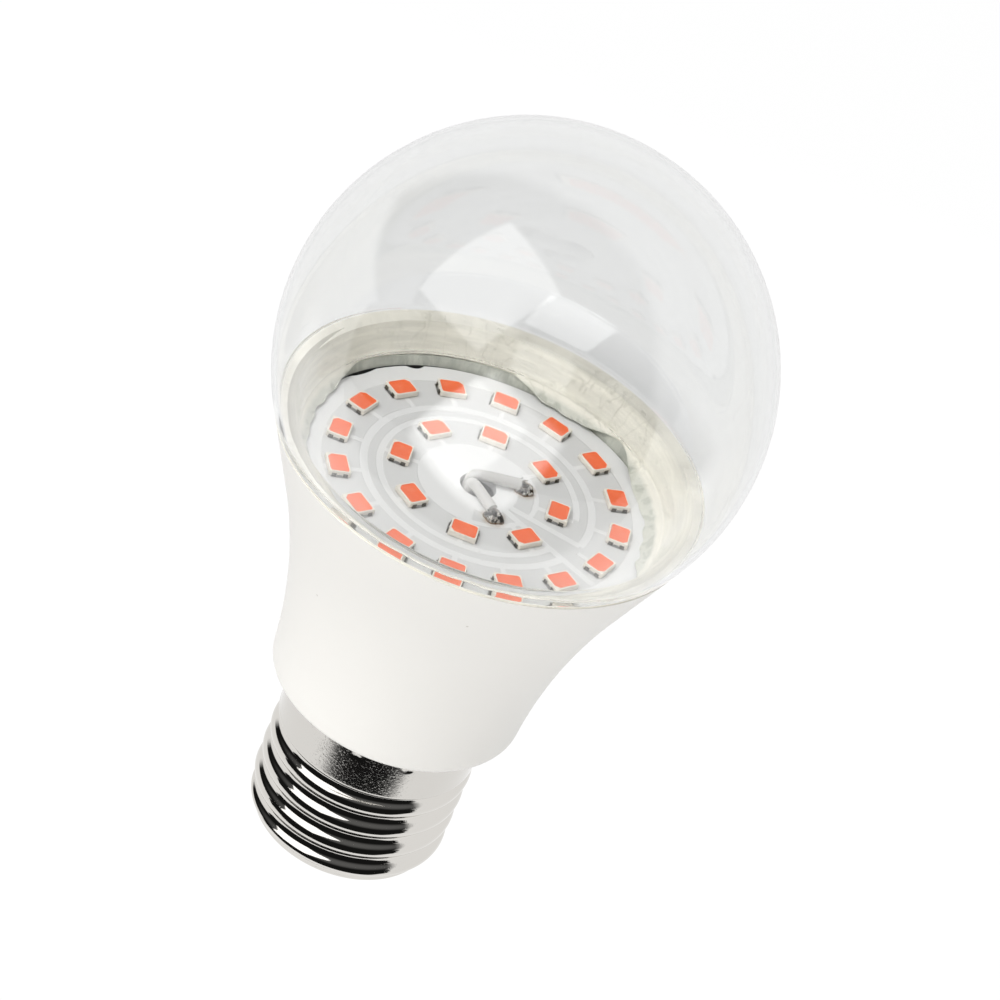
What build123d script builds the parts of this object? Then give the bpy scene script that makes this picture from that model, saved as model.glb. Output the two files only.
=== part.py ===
from build123d import *
import os
from math import asin, cos, degrees, pi, radians, sin, sqrt, tan

# Clear-globe grow light bulb with a screw cap, in millimetres.
# The origin is on the axis at the lower face of the centre contact, +Z runs up to the top of the globe.

# Whole bulb and globe
overall_length = 109.0
globe_radius = 30.0
globe_wall = 1.2
globe_fold_radius = 0.5
skirt_depth = 3.4

# Housing: a flared plastic body with a neck that goes into the cap
rim_drop = 13.4
rim_wall = 1.0
rim_taper = 23.0
foot_height = 28.3
foot_radius = 16.35
foot_taper = 4.0
foot_edge_radius = 0.7
flare_radius = 80.0
housing_wall = 1.9
neck_wall = 1.3
neck_low = 14.5
rib_thickness = 1.0
rib_reach = 1.7

# Sealant that holds the globe
seam_gap = 0.4
glue_gap = 0.15
bead_reach = 0.5

# Aluminium cup that takes the heat of the board
cup_wall = 0.5
cup_gap = 0.05
cup_floor_gap = 2.8
cup_lip = 0.8

# Light-emitting board
board_drop = 4.6
board_thickness = 1.0
board_clearance = 0.1
wire_hole_radius = 2.3
notch_width = 3.0
notch_depth = 0.35
notch_angles = (122.5, 147.5)

# Emitters: two rings of flat packages, their long side along the ring
outer_count = 16
outer_ring_margin = 4.5
inner_count = 8
inner_ring_radius = 10.2
emitter_length = 3.5
emitter_width = 2.8
emitter_height = 0.7
emitter_rim = 0.28
emitter_well_depth = 0.4
emitter_well_draft = 20.0
emitter_corner = 0.45
emitter_mark = 0.7
gel_drop = 0.03
pad_height = 0.1
pad_length = 0.9
pad_width = 2.2
pad_overhang = 0.22

# Wires from the driver to the board, and their soldered ends
wire_radius = 0.7
wire_exit_x = -0.75
wire_exit_y = 0.78
wire_rise = 1.45
wire_end_rise = 0.85
wire_bend_radius = 1.0
wire_start_drop = 3.5
wire_spread = 2.5
joint_radius = 1.25
joint_height = 1.0
joint_reach = 0.75
positive_joint_radius = 5.95
positive_joint_angle = -56.7
negative_joint_radius = 6.4
negative_joint_angle = 28.4

# Driver board, upright in the neck with its edges between the ribs
driver_thickness = 1.2
driver_clearance = 0.15
driver_low = 13.0
driver_rise = 9.3
driver_side_gap = 0.9
driver_corner = 1.5

# Driver parts, placed by their lift over the housing's floor or the driver's low end, and by sideways offset
input_can_radius = 4.0
input_can_length = 12.0
input_can_drop = 1.4
output_can_radius = 3.15
output_can_length = 8.5
output_can_lift = 0.2
output_can_offset = -8.6
can_edge_radius = 0.5
can_groove_height = 1.6
can_groove_depth = 0.35
core_length = 10.4
core_depth = 5.0
core_rise = 8.4
core_leg = 3.4
core_window = 1.9
core_yoke = 1.5
core_lift = 4.4
coil_clearance = 0.1
rectifier_size = (4.7, 3.9, 2.4)
rectifier_drop = 2.8
rectifier_legs = 2
chip_size = (4.9, 3.9, 1.5)
chip_lift = 5.8
chip_offset = -5.5
chip_legs = 4
leg_span = 5.08
leg_width = 0.45
leg_length = 0.9
leg_thickness = 0.25
diode_size = (4.3, 2.6, 2.1)
diode_lift = 5.8
diode_legs = 1
diode_offset = 6.5
resistor_size = (3.2, 1.6, 0.6)
resistor_lift = 1.7
resistor_spacing = 4.6
resistor_count = 4
fuse_radius = 1.7
fuse_length = 9.0
fuse_waist = 0.25
fuse_end = 1.8
fuse_lift = 1.6
fuse_offset = 4.6
lead_radius = 0.4
lead_bend_radius = 1.0
live_drop = 3.1
neutral_rise = 4.0
neutral_drop = 1.1
neutral_climb = 5.0
neutral_offset = 7.0
slot_margin = 0.15

# Screw cap: rolled thread, crimped collar, insulator and contact
thread_crest_radius = 13.15
thread_pitch = 3.629
thread_round = 1.025
thread_low = 5.2
thread_top = 19.4
thread_start_angle = 326.0
shell_wall = 0.3
shell_low = 4.3
shell_mouth_radius = 10.3
shell_top_gap = 0.35
collar_radius = 13.0
collar_blend = 1.2
collar_clearance = 0.1
neck_thread_clearance = 0.3
crimp_count = 12
crimp_radius = 0.7
crimp_depth = 0.18
crimp_drop = 0.9
insulator_face_radius = 6.2
insulator_seat = 0.8
insulator_flange = 0.8
insulator_clearance = 0.1
contact_radius = 4.8
contact_thickness = 1.1
contact_edge_radius = 0.35
shank_radius = 1.3
shank_bore = 0.6
shank_rise = 1.4
shank_clearance = 0.05

# Resolution of the rolled thread
thread_sections_per_turn = 6
section_points = 18
mouth_steps = 3
blend_steps = 2

# Values that follow from the ones above
pole_angle = 90.0
globe_centre = overall_length - globe_radius
rim_height = globe_centre - rim_drop
shelf_height = rim_height + seam_gap
skirt_low = shelf_height - skirt_depth
board_top = rim_height - board_drop
board_bottom = board_top - board_thickness
thread_depth = 2 * (thread_round - sqrt(thread_round**2 - (thread_pitch / 4) ** 2))
thread_root_radius = thread_crest_radius - thread_depth
shell_bore = thread_root_radius - shell_wall
shell_top = foot_height - shell_top_gap
collar_bore = collar_radius - shell_wall
neck_radius = collar_bore - collar_clearance
neck_low_radius = shell_bore - neck_thread_clearance
neck_bore = neck_low_radius - neck_wall
neck_step = thread_top + collar_blend
floor_height = foot_height + housing_wall
cup_low = floor_height + cup_floor_gap
driver_face = driver_thickness / 2
driver_top = floor_height + driver_rise
fuse_low = driver_low + fuse_lift
fuse_x = -(driver_face + fuse_radius)
neutral_turn = neck_low - neutral_drop
neutral_top = neck_low + neutral_climb
insulator_top = thread_low + shell_wall + insulator_clearance + insulator_flange


def at(radius, height):
    """Point of a half section."""
    return Vector(radius, 0, height)


def sphere_radius_at(height, ball_radius):
    """Radius of the globe's ball, or of its inside, at a height."""
    return sqrt(ball_radius**2 - (height - globe_centre) ** 2)


rim_radius = sphere_radius_at(rim_height, globe_radius)


class Flare:
    """Housing's flared line, moved towards the axis: a foot line, a round and a rim line."""

    def __init__(self, inset):
        foot_turn, rim_turn = radians(foot_taper), radians(rim_taper)
        self.foot_way = Vector(sin(foot_turn), 0, cos(foot_turn))
        self.rim_way = Vector(sin(rim_turn), 0, cos(rim_turn))
        foot_in = Vector(-cos(foot_turn), 0, sin(foot_turn))
        rim_in = Vector(-cos(rim_turn), 0, sin(rim_turn))
        foot = at(foot_radius, foot_height) + foot_in * inset
        rim = at(rim_radius, rim_height) + rim_in * inset
        across = self.foot_way.X * self.rim_way.Z - self.foot_way.Z * self.rim_way.X
        between = rim - foot
        along = (between.X * self.rim_way.Z - between.Z * self.rim_way.X) / across
        corner = foot + self.foot_way * along
        self.round_radius = flare_radius + inset
        reach = self.round_radius * tan((rim_turn - foot_turn) / 2)
        self.low = corner - self.foot_way * reach
        self.high = corner + self.rim_way * reach
        self.centre = self.low - foot_in * self.round_radius

    def radius_at(self, height):
        if height <= self.low.Z:
            return self.low.X + (height - self.low.Z) * self.foot_way.X / self.foot_way.Z
        if height >= self.high.Z:
            return self.high.X + (height - self.high.Z) * self.rim_way.X / self.rim_way.Z
        return self.centre.X - sqrt(self.round_radius**2 - (height - self.centre.Z) ** 2)

    def point(self, height):
        return at(self.radius_at(height), height)

    def edges(self, start, end):
        """Edges from one height to the other, upwards or downwards."""
        bottom, top = min(start, end), max(start, end)
        run = []
        if bottom < self.low.Z:
            run.append(Edge.make_line(self.point(bottom), self.point(min(top, self.low.Z))))
        round_low, round_high = max(bottom, self.low.Z), min(top, self.high.Z)
        if round_low < round_high:
            middle = self.point((round_low + round_high) / 2)
            run.append(Edge.make_three_point_arc(self.point(round_low), middle, self.point(round_high)))
        if top > self.high.Z:
            run.append(Edge.make_line(self.point(max(bottom, self.high.Z)), self.point(top)))
        return run if start < end else [edge.reversed() for edge in reversed(run)]


def ends(item):
    """First and last point of a run of edges, or a point twice."""
    if isinstance(item, tuple):
        return at(*item), at(*item)
    first, last = item[0], item[-1]
    return first.position_at(0), last.position_at(1)


def half_section(*items):
    """Closed face through points and runs of edges, joined by straight lines."""
    edges = []
    for item, following in zip(items, items[1:] + items[:1]):
        if not isinstance(item, tuple):
            edges += item
        start, end = ends(item)[1], ends(following)[0]
        if (end - start).length > 1e-6:
            edges.append(Edge.make_line(start, end))
    return Face(Wire(edges))


def turned(*items):
    """Solid turned about the axis."""
    return revolve(half_section(*items), axis=Axis.Z)


def rounded(face, radius, *corners):
    """Face with the corners nearest to the given section points rounded."""
    found = [min(face.vertices(), key=lambda v: (Vector(v) - at(*corner)).length) for corner in corners]
    return face.fillet_2d(radius, found)


def ball_angle(height, ball_radius):
    """Angle above the level through the globe's centre at which a ball reaches a height."""
    return degrees(asin((height - globe_centre) / ball_radius))


def ball_arc(ball_radius, start_angle, end_angle):
    """Arc of a ball about the globe's centre."""
    section = Plane(origin=(0, 0, globe_centre), x_dir=(1, 0, 0), z_dir=(0, -1, 0))
    low, high = min(start_angle, end_angle), max(start_angle, end_angle)
    arc = Edge.make_circle(ball_radius, section, low, high)
    return [arc if start_angle < end_angle else arc.reversed()]


def make_globe():
    skirt_outside = Flare(rim_wall + glue_gap)
    skirt_inside = Flare(rim_wall + glue_gap + globe_wall)
    inner_shelf = shelf_height + globe_wall
    inner_radius = globe_radius - globe_wall
    face = half_section(
        ball_arc(globe_radius, pole_angle, ball_angle(shelf_height, globe_radius)),
        skirt_outside.edges(shelf_height, skirt_low),
        skirt_inside.edges(skirt_low, inner_shelf),
        ball_arc(inner_radius, ball_angle(inner_shelf, inner_radius), pole_angle),
    )
    fold_in = (skirt_inside.radius_at(inner_shelf), inner_shelf)
    fold_out = (sphere_radius_at(inner_shelf, inner_radius), inner_shelf)
    return revolve(rounded(face, globe_fold_radius, fold_in, fold_out), axis=Axis.Z)


def make_sealant():
    """Bead on the rim, film round the skirt and bead under it, in one ring."""
    wall_line = Flare(rim_wall)
    skirt_outside = Flare(rim_wall + glue_gap)
    bead_line = Flare(rim_wall + glue_gap + globe_wall + bead_reach)
    cup_top = cup_top_height()
    return turned(
        ball_arc(globe_radius, ball_angle(shelf_height, globe_radius), ball_angle(rim_height, globe_radius)),
        wall_line.edges(rim_height, cup_top),
        bead_line.edges(cup_top, skirt_low),
        skirt_outside.edges(skirt_low, shelf_height),
    )


def cup_top_height():
    return skirt_low - bead_reach


def foot_round(outside):
    """Quarter round between the housing's lower face and its outside."""
    reach = foot_edge_radius * cos(radians(45))
    inner, level = outside.radius_at(foot_height) - foot_edge_radius, foot_height + foot_edge_radius
    middle = at(inner + reach, level - reach)
    return [Edge.make_three_point_arc(at(inner, foot_height), middle, outside.point(level))]


def make_housing():
    outside = Flare(0)
    rim_inside = Flare(rim_wall)
    inside = Flare(housing_wall)
    step = board_bottom - cup_wall - cup_gap
    body = turned(
        foot_round(outside),
        outside.edges(foot_height + foot_edge_radius, rim_height),
        rim_inside.edges(rim_height, step),
        inside.edges(step, floor_height),
        (neck_bore, floor_height),
        (neck_bore, neck_low),
        (neck_low_radius, neck_low),
        (neck_low_radius, neck_step),
        (neck_radius, neck_step),
        (neck_radius, foot_height),
    )
    return body + guide_ribs() - neutral_slot()


def guide_ribs():
    """Two pairs of ribs in the neck that take the edges of the driver board."""
    rib_height = floor_height - neck_low
    bore = Pos(0, 0, neck_low) * Cylinder(
        neck_bore + neck_wall / 2, rib_height, align=(Align.CENTER, Align.CENTER, Align.MIN)
    )
    ribs = []
    for side in (-1, 1):
        for face in (-1, 1):
            x = face * (driver_face + driver_clearance + rib_thickness / 2)
            y = side * (neck_bore - rib_reach / 2 + neck_wall / 4)
            block = Box(rib_thickness, rib_reach + neck_wall / 2, rib_height)
            ribs.append(Pos(x, y, neck_low + rib_height / 2) * block & bore)
    return ribs


def neutral_slot():
    """Groove outside the neck for the neutral lead."""
    width = 2 * (lead_radius + slot_margin)
    depth = 2 * lead_radius + slot_margin
    height = neutral_top + lead_radius - neck_low
    place = Pos(neutral_x(), -(neutral_radius() + lead_radius), neck_low - slot_margin)
    return place * Box(width, 2 * depth, height, align=(Align.CENTER, Align.CENTER, Align.MIN))


def neutral_x():
    return -(driver_face + lead_radius + slot_margin / 2)


def neutral_radius():
    """Distance of the neutral lead from the axis, against the inside of the screw shell."""
    return shell_bore - lead_radius - slot_margin


def cup_lip_radius():
    return Flare(housing_wall + cup_gap + cup_wall).radius_at(cup_low) - cup_lip


def make_cup():
    ring_outside = Flare(rim_wall + cup_gap)
    ring_inside = Flare(rim_wall + cup_gap + cup_wall)
    wall_outside = Flare(housing_wall + cup_gap)
    wall_inside = Flare(housing_wall + cup_gap + cup_wall)
    lip_radius = cup_lip_radius()
    return turned(
        (lip_radius, cup_low),
        wall_outside.edges(cup_low, board_bottom - cup_wall),
        ring_outside.edges(board_bottom - cup_wall, cup_top_height()),
        ring_inside.edges(cup_top_height(), board_bottom),
        wall_inside.edges(board_bottom, cup_low + cup_wall),
        (lip_radius, cup_low + cup_wall),
    )


def board_radius():
    return Flare(rim_wall + cup_gap + cup_wall).radius_at(board_bottom) - board_clearance


def make_board():
    disc = Cylinder(board_radius(), board_thickness, align=(Align.CENTER, Align.CENTER, Align.MIN))
    hole = Cylinder(wire_hole_radius, 3 * board_thickness)
    board = Pos(0, 0, board_bottom) * (disc - hole)
    for angle in notch_angles:
        notch = Box(2 * notch_depth, notch_width, 3 * board_thickness)
        board -= Rot(0, 0, angle) * Pos(board_radius(), 0, board_bottom) * notch
    return board


def outer_ring_radius():
    return board_radius() - outer_ring_margin


def emitter_place(ring_radius, angle):
    """Seat of an emitter: its X along the ring, its Y outwards."""
    return Rot(0, 0, angle - 90) * Pos(0, ring_radius, board_top + pad_height)


def emitter_well(depth):
    """Tapered well of a package, drawn down from its mouth, with one corner cut as a polarity mark."""
    length, width = emitter_length - 2 * emitter_rim, emitter_width - 2 * emitter_rim
    mouth = Rectangle(length, width)
    mark = max(mouth.vertices(), key=lambda v: v.X + v.Y)
    plain = [v for v in mouth.vertices() if v != mark]
    mouth = chamfer(fillet(plain, emitter_corner).vertices().sort_by(lambda v: v.X + v.Y)[-1], emitter_mark)
    return extrude(mouth, -depth, taper=emitter_well_draft)


def make_emitter():
    package = Box(
        emitter_length, emitter_width, emitter_height, align=(Align.CENTER, Align.CENTER, Align.MIN)
    )
    return package - Pos(0, 0, emitter_height) * emitter_well(emitter_well_depth)


def make_gel():
    """Phosphor that fills the well to just under the mouth."""
    well = Pos(0, 0, emitter_height) * emitter_well(emitter_well_depth)
    above = Pos(0, 0, emitter_height - gel_drop) * Box(
        emitter_length, emitter_width, emitter_height, align=(Align.CENTER, Align.CENTER, Align.MIN)
    )
    return well - above


def make_pads():
    """Soldered feet under both ends of a package."""
    pad = Box(pad_length, pad_width, pad_height, align=(Align.MAX, Align.CENTER, Align.MAX))
    edge = emitter_length / 2 + pad_overhang
    return [Pos(edge, 0, 0) * pad, Rot(0, 0, 180) * Pos(edge, 0, 0) * pad]


def ring_angles(count):
    return [360 / count * k for k in range(count)]


def joint_point(radius, angle):
    return Vector(radius * cos(radians(angle)), radius * sin(radians(angle)), board_top)


def tube(radius, corners, bend):
    """Round wire along straight runs joined by bends."""
    path = FilletPolyline(*corners, radius=bend)
    section = Plane(origin=path @ 0, z_dir=path % 0) * Circle(radius)
    return sweep(section, path=path)


def make_wire(side, joint):
    """Insulated wire: up the driver's back, through the hole and over to its joint."""
    exit_point = Vector(wire_exit_x, side * wire_exit_y, board_top + wire_rise)
    start_x = -(driver_face + wire_radius + driver_clearance)
    level = Vector(joint.X - exit_point.X, joint.Y - exit_point.Y, 0)
    end = joint - level.normalized() * joint_reach + Vector(0, 0, wire_end_rise)
    climb = (board_bottom - driver_top) / 3
    corners = [
        (start_x, wire_spread * exit_point.Y, driver_top - wire_start_drop),
        (start_x, wire_spread * exit_point.Y, driver_top + climb / 2),
        (exit_point.X, exit_point.Y, driver_top + 2 * climb),
        exit_point,
        end,
    ]
    return tube(wire_radius, corners, wire_bend_radius)


def make_joint(joint, wire):
    """Dome of solder round the end of a wire."""
    ball_radius = (joint_radius**2 + joint_height**2) / (2 * joint_height)
    ball = Pos(0, 0, joint_height - ball_radius) * Sphere(ball_radius)
    above = extrude(Rectangle(4 * ball_radius, 4 * ball_radius), 2 * ball_radius)
    return Pos(joint.X, joint.Y, joint.Z) * (ball & above) - wire


def driver_tongue_width():
    return 2 * (sqrt(neck_bore**2 - driver_face**2) - driver_clearance)


def make_driver_board():
    """T-shaped board: its shoulders stand on the housing's floor, its tongue reaches into the cap."""
    half_tongue, half_shoulder = driver_tongue_width() / 2, cup_lip_radius() - driver_side_gap
    outline = Polyline(
        (-half_tongue + driver_corner, driver_low),
        (half_tongue - driver_corner, driver_low),
        (half_tongue, driver_low + driver_corner),
        (half_tongue, floor_height),
        (half_shoulder, floor_height),
        (half_shoulder, driver_top - driver_corner),
        (half_shoulder - driver_corner, driver_top),
        (-half_shoulder + driver_corner, driver_top),
        (-half_shoulder, driver_top - driver_corner),
        (-half_shoulder, floor_height),
        (-half_tongue, floor_height),
        (-half_tongue, driver_low + driver_corner),
        close=True,
    )
    return extrude(Plane.YZ * make_face(outline), driver_face, both=True)


def on_driver(shape, height, offset=0.0, side=1):
    """Shape with its foot on the level plane, set on a face of the driver board."""
    seat = Plane(origin=(side * driver_face, offset, height), x_dir=(0, 1, 0), z_dir=(side, 0, 0))
    return seat * shape


def make_can(radius, length):
    """Electrolytic capacitor: a can with a rolled groove above its rubber foot."""
    groove_radius = can_groove_height / 3
    groove = [
        Edge.make_three_point_arc(
            at(radius, can_groove_height - groove_radius),
            at(radius - can_groove_depth, can_groove_height),
            at(radius, can_groove_height + groove_radius),
        )
    ]
    face = half_section((0, 0), (radius, 0), groove, (radius, length), (0, length))
    return revolve(rounded(face, can_edge_radius, (radius, 0), (radius, length)), axis=Axis.Z)


def make_core():
    """Ferrite core with two windows beside its middle leg."""
    block = Box(core_length, core_depth, core_rise, align=(Align.CENTER, Align.CENTER, Align.MIN))
    window = Box(core_window, 2 * core_depth, core_rise - 2 * core_yoke)
    reach = (core_leg + core_window) / 2
    for side in (-1, 1):
        block -= Pos(side * reach, 0, core_rise / 2) * window
    return block


def make_coil():
    """Winding round the core's middle leg."""
    thickness = core_window - 2 * coil_clearance
    width, depth = core_leg + 2 * coil_clearance, core_depth + 2 * coil_clearance
    hole = Rectangle(width, depth)
    ring = RectangleRounded(width + 2 * thickness, depth + 2 * thickness, thickness)
    height = core_rise - 2 * core_yoke - 2 * coil_clearance
    return Pos(0, 0, core_yoke + coil_clearance) * extrude(ring - hole, height)


def make_package(size, legs):
    """Moulded part with flat legs along both long sides."""
    length, width, height = size
    body = Box(length, width, height, align=(Align.CENTER, Align.CENTER, Align.MIN))
    body = chamfer(body.edges().group_by(Axis.Z)[-1], leg_thickness)
    leg = Box(leg_width, leg_length, leg_thickness, align=(Align.CENTER, Align.MIN, Align.MIN))
    for k in range(legs):
        x = (k - (legs - 1) / 2) * leg_span / legs
        body += Pos(x, width / 2, 0) * leg
        body += Pos(x, -width / 2, 0) * Rot(0, 0, 180) * leg
    return body


def make_chip_resistors():
    plain = Box(*resistor_size, align=(Align.CENTER, Align.CENTER, Align.MIN))
    offsets = [(k - (resistor_count - 1) / 2) * resistor_spacing for k in range(resistor_count)]
    return [on_driver(plain, floor_height + resistor_lift, offset, side=-1) for offset in offsets]


def make_fuse():
    """Axial resistor with swollen ends, lying along the driver board."""
    waist = fuse_radius - fuse_waist
    return Pos(fuse_x, fuse_offset, fuse_low) * turned(
        (0, 0),
        (waist, 0),
        (fuse_radius, fuse_end / 3),
        (fuse_radius, fuse_end * 2 / 3),
        (waist, fuse_end),
        (waist, fuse_length - fuse_end),
        (fuse_radius, fuse_length - fuse_end * 2 / 3),
        (fuse_radius, fuse_length - fuse_end / 3),
        (waist, fuse_length),
        (0, fuse_length),
    )


def make_live_lead():
    """From the fuse's lower end into the bore of the contact's shank."""
    bend_height = insulator_top + shank_rise + lead_bend_radius
    corners = [
        (fuse_x, fuse_offset, fuse_low),
        (fuse_x, fuse_offset, fuse_low - live_drop),
        (0, 0, bend_height),
        (0, 0, contact_thickness),
    ]
    return tube(lead_radius, corners, lead_bend_radius)


def make_neutral_lead():
    """Down the driver's back, under the neck and up its groove against the screw shell."""
    x, y = neutral_x(), -neutral_radius()
    corners = [
        (x, -neutral_offset, driver_low + neutral_rise),
        (x, -neutral_offset, neutral_turn),
        (x, y, neutral_turn),
        (x, y, neutral_top),
    ]
    return tube(lead_radius, corners, lead_bend_radius)


def smooth_step(value):
    part = max(0.0, min(1.0, value))
    return part * part * (3 - 2 * part)


def thread_radius(angle, height):
    """Rolled thread: round crests and round roots of one radius, along a right-hand helix."""
    turn = height / thread_pitch - (angle - radians(thread_start_angle)) / (2 * pi)
    along = abs(turn - round(turn)) * thread_pitch
    if along < thread_pitch / 4:
        return thread_crest_radius - thread_round + sqrt(thread_round**2 - along**2)
    return thread_root_radius + thread_round - sqrt(thread_round**2 - (thread_pitch / 2 - along) ** 2)


def shell_radius(angle, height):
    """Outside of the screw shell: tapered mouth, thread that runs in and out, plain collar."""
    if height >= thread_top:
        plain, share = collar_radius, smooth_step(1 - (height - thread_top) / collar_blend)
    elif height > thread_low:
        plain, share = thread_root_radius, smooth_step((height - thread_low) / (thread_pitch / 2))
    else:
        rise = (height - shell_low) / (thread_low - shell_low)
        plain = shell_mouth_radius + (thread_root_radius - shell_mouth_radius) * sqrt(1 - (1 - rise) ** 2)
        share = 0.0
    return plain + share * (thread_radius(angle, height) - plain)


def shell_section(height):
    """Level outline of the screw shell."""
    angles = [2 * pi * k / section_points for k in range(section_points)]
    points = []
    for angle in angles:
        radius = shell_radius(angle, height)
        points.append(Vector(radius * cos(angle), radius * sin(angle), height))
    return Wire([Edge.make_spline(points, periodic=True)])


def steps(low, high, count):
    return [low + (high - low) * k / count for k in range(count)]


def make_screw_shell():
    thread_steps = round((thread_top - thread_low) / thread_pitch * thread_sections_per_turn)
    heights = steps(shell_low, thread_low, mouth_steps) + steps(thread_low, thread_top, thread_steps)
    heights += steps(thread_top, thread_top + collar_blend, blend_steps)
    heights += [thread_top + collar_blend, shell_top]
    outside = Solid.make_loft([shell_section(height) for height in heights], ruled=True)
    inside = turned(
        (0, shell_low - shell_wall),
        (shell_mouth_radius - shell_wall, shell_low - shell_wall),
        (shell_mouth_radius - shell_wall, shell_low + shell_wall),
        (shell_bore, thread_low + shell_wall),
        (shell_bore, thread_top),
        (collar_bore, thread_top + collar_blend),
        (collar_bore, shell_top + shell_wall),
        (0, shell_top + shell_wall),
    )
    shell = outside - inside
    crimp = Sphere(crimp_radius)
    for angle in ring_angles(crimp_count):
        reach = collar_radius + crimp_radius - crimp_depth
        shell -= Rot(0, 0, angle) * Pos(reach, 0, shell_top - crimp_drop) * crimp
    return shell


def make_insulator():
    """Cone between shell and contact, with a flange held by the shell's mouth."""
    mouth = shell_mouth_radius - shell_wall - insulator_clearance
    flange = shell_bore - insulator_clearance
    return turned(
        (shank_radius + shank_clearance, insulator_seat),
        (insulator_face_radius, insulator_seat),
        (mouth, shell_low),
        (mouth, shell_low + shell_wall),
        (flange, thread_low + shell_wall + insulator_clearance),
        (flange, insulator_top),
        (shank_radius + shank_clearance, insulator_top),
    )


def make_contact():
    """Rivet: a flat head under the insulator and a hollow shank through it."""
    shank_top = insulator_top + shank_rise
    head_top = insulator_seat
    face = half_section(
        (0, 0),
        (contact_radius, 0),
        (contact_radius, head_top),
        (shank_radius, head_top),
        (shank_radius, shank_top),
        (shank_bore, shank_top),
        (shank_bore, contact_thickness - lead_radius),
        (0, contact_thickness - lead_radius),
    )
    return revolve(rounded(face, contact_edge_radius, (contact_radius, 0)), axis=Axis.Z)


def save(name, shape):
    """Write one node, whose solids stay separate."""
    solids = shape if isinstance(shape, list) else [shape]
    solids = [solid for item in solids for solid in item.solids()]
    export_step(solids[0] if len(solids) == 1 else Compound(children=solids), f"parts/{name}.step")


def main():
    os.makedirs("parts", exist_ok=True)
    save("globe", make_globe())
    save("sealant_ring", make_sealant())
    save("housing", make_housing())
    save("heat_sink_cup", make_cup())
    save("led_board", make_board())

    emitter, gel, pads = make_emitter(), make_gel(), make_pads()
    all_pads = []
    rings = (("outer", outer_count, outer_ring_radius()), ("inner", inner_count, inner_ring_radius))
    for ring, count, radius in rings:
        places = [emitter_place(radius, angle) for angle in ring_angles(count)]
        for number, place in enumerate(places, start=1):
            save(f"led_{ring}_{number:02d}", place * emitter)
            all_pads += [place * pad for pad in pads]
        save(f"led_phosphor_{ring}", [place * gel for place in places])
    save("led_solder_pads", all_pads)

    positive = joint_point(positive_joint_radius, positive_joint_angle)
    negative = joint_point(negative_joint_radius, negative_joint_angle)
    for name, side, joint in (("positive", -1, positive), ("negative", 1, negative)):
        wire = make_wire(side, joint)
        save(f"wire_{name}", wire)
        save(f"solder_joint_{name}", make_joint(joint, wire))

    save("driver_board", make_driver_board())
    input_can = make_can(input_can_radius, input_can_length)
    output_can = make_can(output_can_radius, output_can_length)
    input_low = floor_height - input_can_drop - input_can_length
    save("input_capacitor", Pos(driver_face + input_can_radius, 0, input_low) * input_can)
    output_x = driver_face + output_can_radius
    save("output_capacitor", Pos(output_x, output_can_offset, floor_height + output_can_lift) * output_can)
    save("inductor_core", on_driver(make_core(), floor_height + core_lift))
    save("inductor_winding", on_driver(make_coil(), floor_height + core_lift))
    rectifier, chip = make_package(rectifier_size, rectifier_legs), make_package(chip_size, chip_legs)
    save("rectifier", on_driver(rectifier, floor_height - rectifier_drop, side=-1))
    save("driver_chip", on_driver(chip, floor_height + chip_lift, chip_offset, side=-1))
    diode = make_package(diode_size, diode_legs)
    save("freewheel_diode", on_driver(diode, floor_height + diode_lift, diode_offset, side=-1))
    save("chip_resistors", make_chip_resistors())
    save("fuse_resistor", make_fuse())
    save("live_lead", make_live_lead())
    save("neutral_lead", make_neutral_lead())

    save("screw_shell", make_screw_shell())
    save("cap_insulator", make_insulator())
    save("centre_contact", make_contact())


main()
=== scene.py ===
"""Looks of a clear-globe grow light bulb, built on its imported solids. All lengths are in metres."""

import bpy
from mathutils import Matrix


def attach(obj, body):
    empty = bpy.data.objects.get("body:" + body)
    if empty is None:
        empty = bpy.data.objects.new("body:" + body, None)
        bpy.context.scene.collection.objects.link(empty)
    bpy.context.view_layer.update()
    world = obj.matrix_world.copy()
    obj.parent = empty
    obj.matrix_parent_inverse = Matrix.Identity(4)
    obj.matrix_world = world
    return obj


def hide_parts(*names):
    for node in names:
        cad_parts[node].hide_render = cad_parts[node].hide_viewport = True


bl_info = {
    "name": "Grow light bulb",
    "version": (1, 0, 0),
    "blender": (4, 5, 0),
    "location": "3D View > Sidebar > Bulb",
    "description": "Builds the looks of a clear-globe grow light bulb on its packed solids",
    "category": "Object",
}

from math import asin, cos, degrees, pi, radians, sin, sqrt, tan

import bmesh
import bpy
import numpy as np
from bpy.props import FloatProperty, FloatVectorProperty, IntProperty, PointerProperty
from bpy.types import Operator, Panel, PropertyGroup
from mathutils import Matrix, Vector

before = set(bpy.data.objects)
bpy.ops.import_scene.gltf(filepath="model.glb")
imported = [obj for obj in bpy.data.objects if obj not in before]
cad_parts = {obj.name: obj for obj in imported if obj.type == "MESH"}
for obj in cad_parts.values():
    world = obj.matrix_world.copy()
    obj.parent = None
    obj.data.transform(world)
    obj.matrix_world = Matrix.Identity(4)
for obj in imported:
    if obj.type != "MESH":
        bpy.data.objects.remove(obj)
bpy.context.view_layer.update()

MM = 0.001
BODY = "root"
AROUND = 192
SHELL_ROWS = 240
WORLD_LIGHT = 0.55

OUTER_EMITTERS = [f"led_outer_{k:02d}" for k in range(1, 17)]
INNER_EMITTERS = [f"led_inner_{k:02d}" for k in range(1, 9)]
JOINT_REACH = 5.95 * MM
JOINT_TURNS = {"positive": radians(-60.5), "negative": radians(24.0)}


def length(label, words, millimetres):
    return FloatProperty(name=label, description=words, default=millimetres * MM, unit="LENGTH", precision=5)


def angle(label, words, degrees_value):
    return FloatProperty(name=label, description=words, default=radians(degrees_value), unit="ROTATION")


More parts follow.
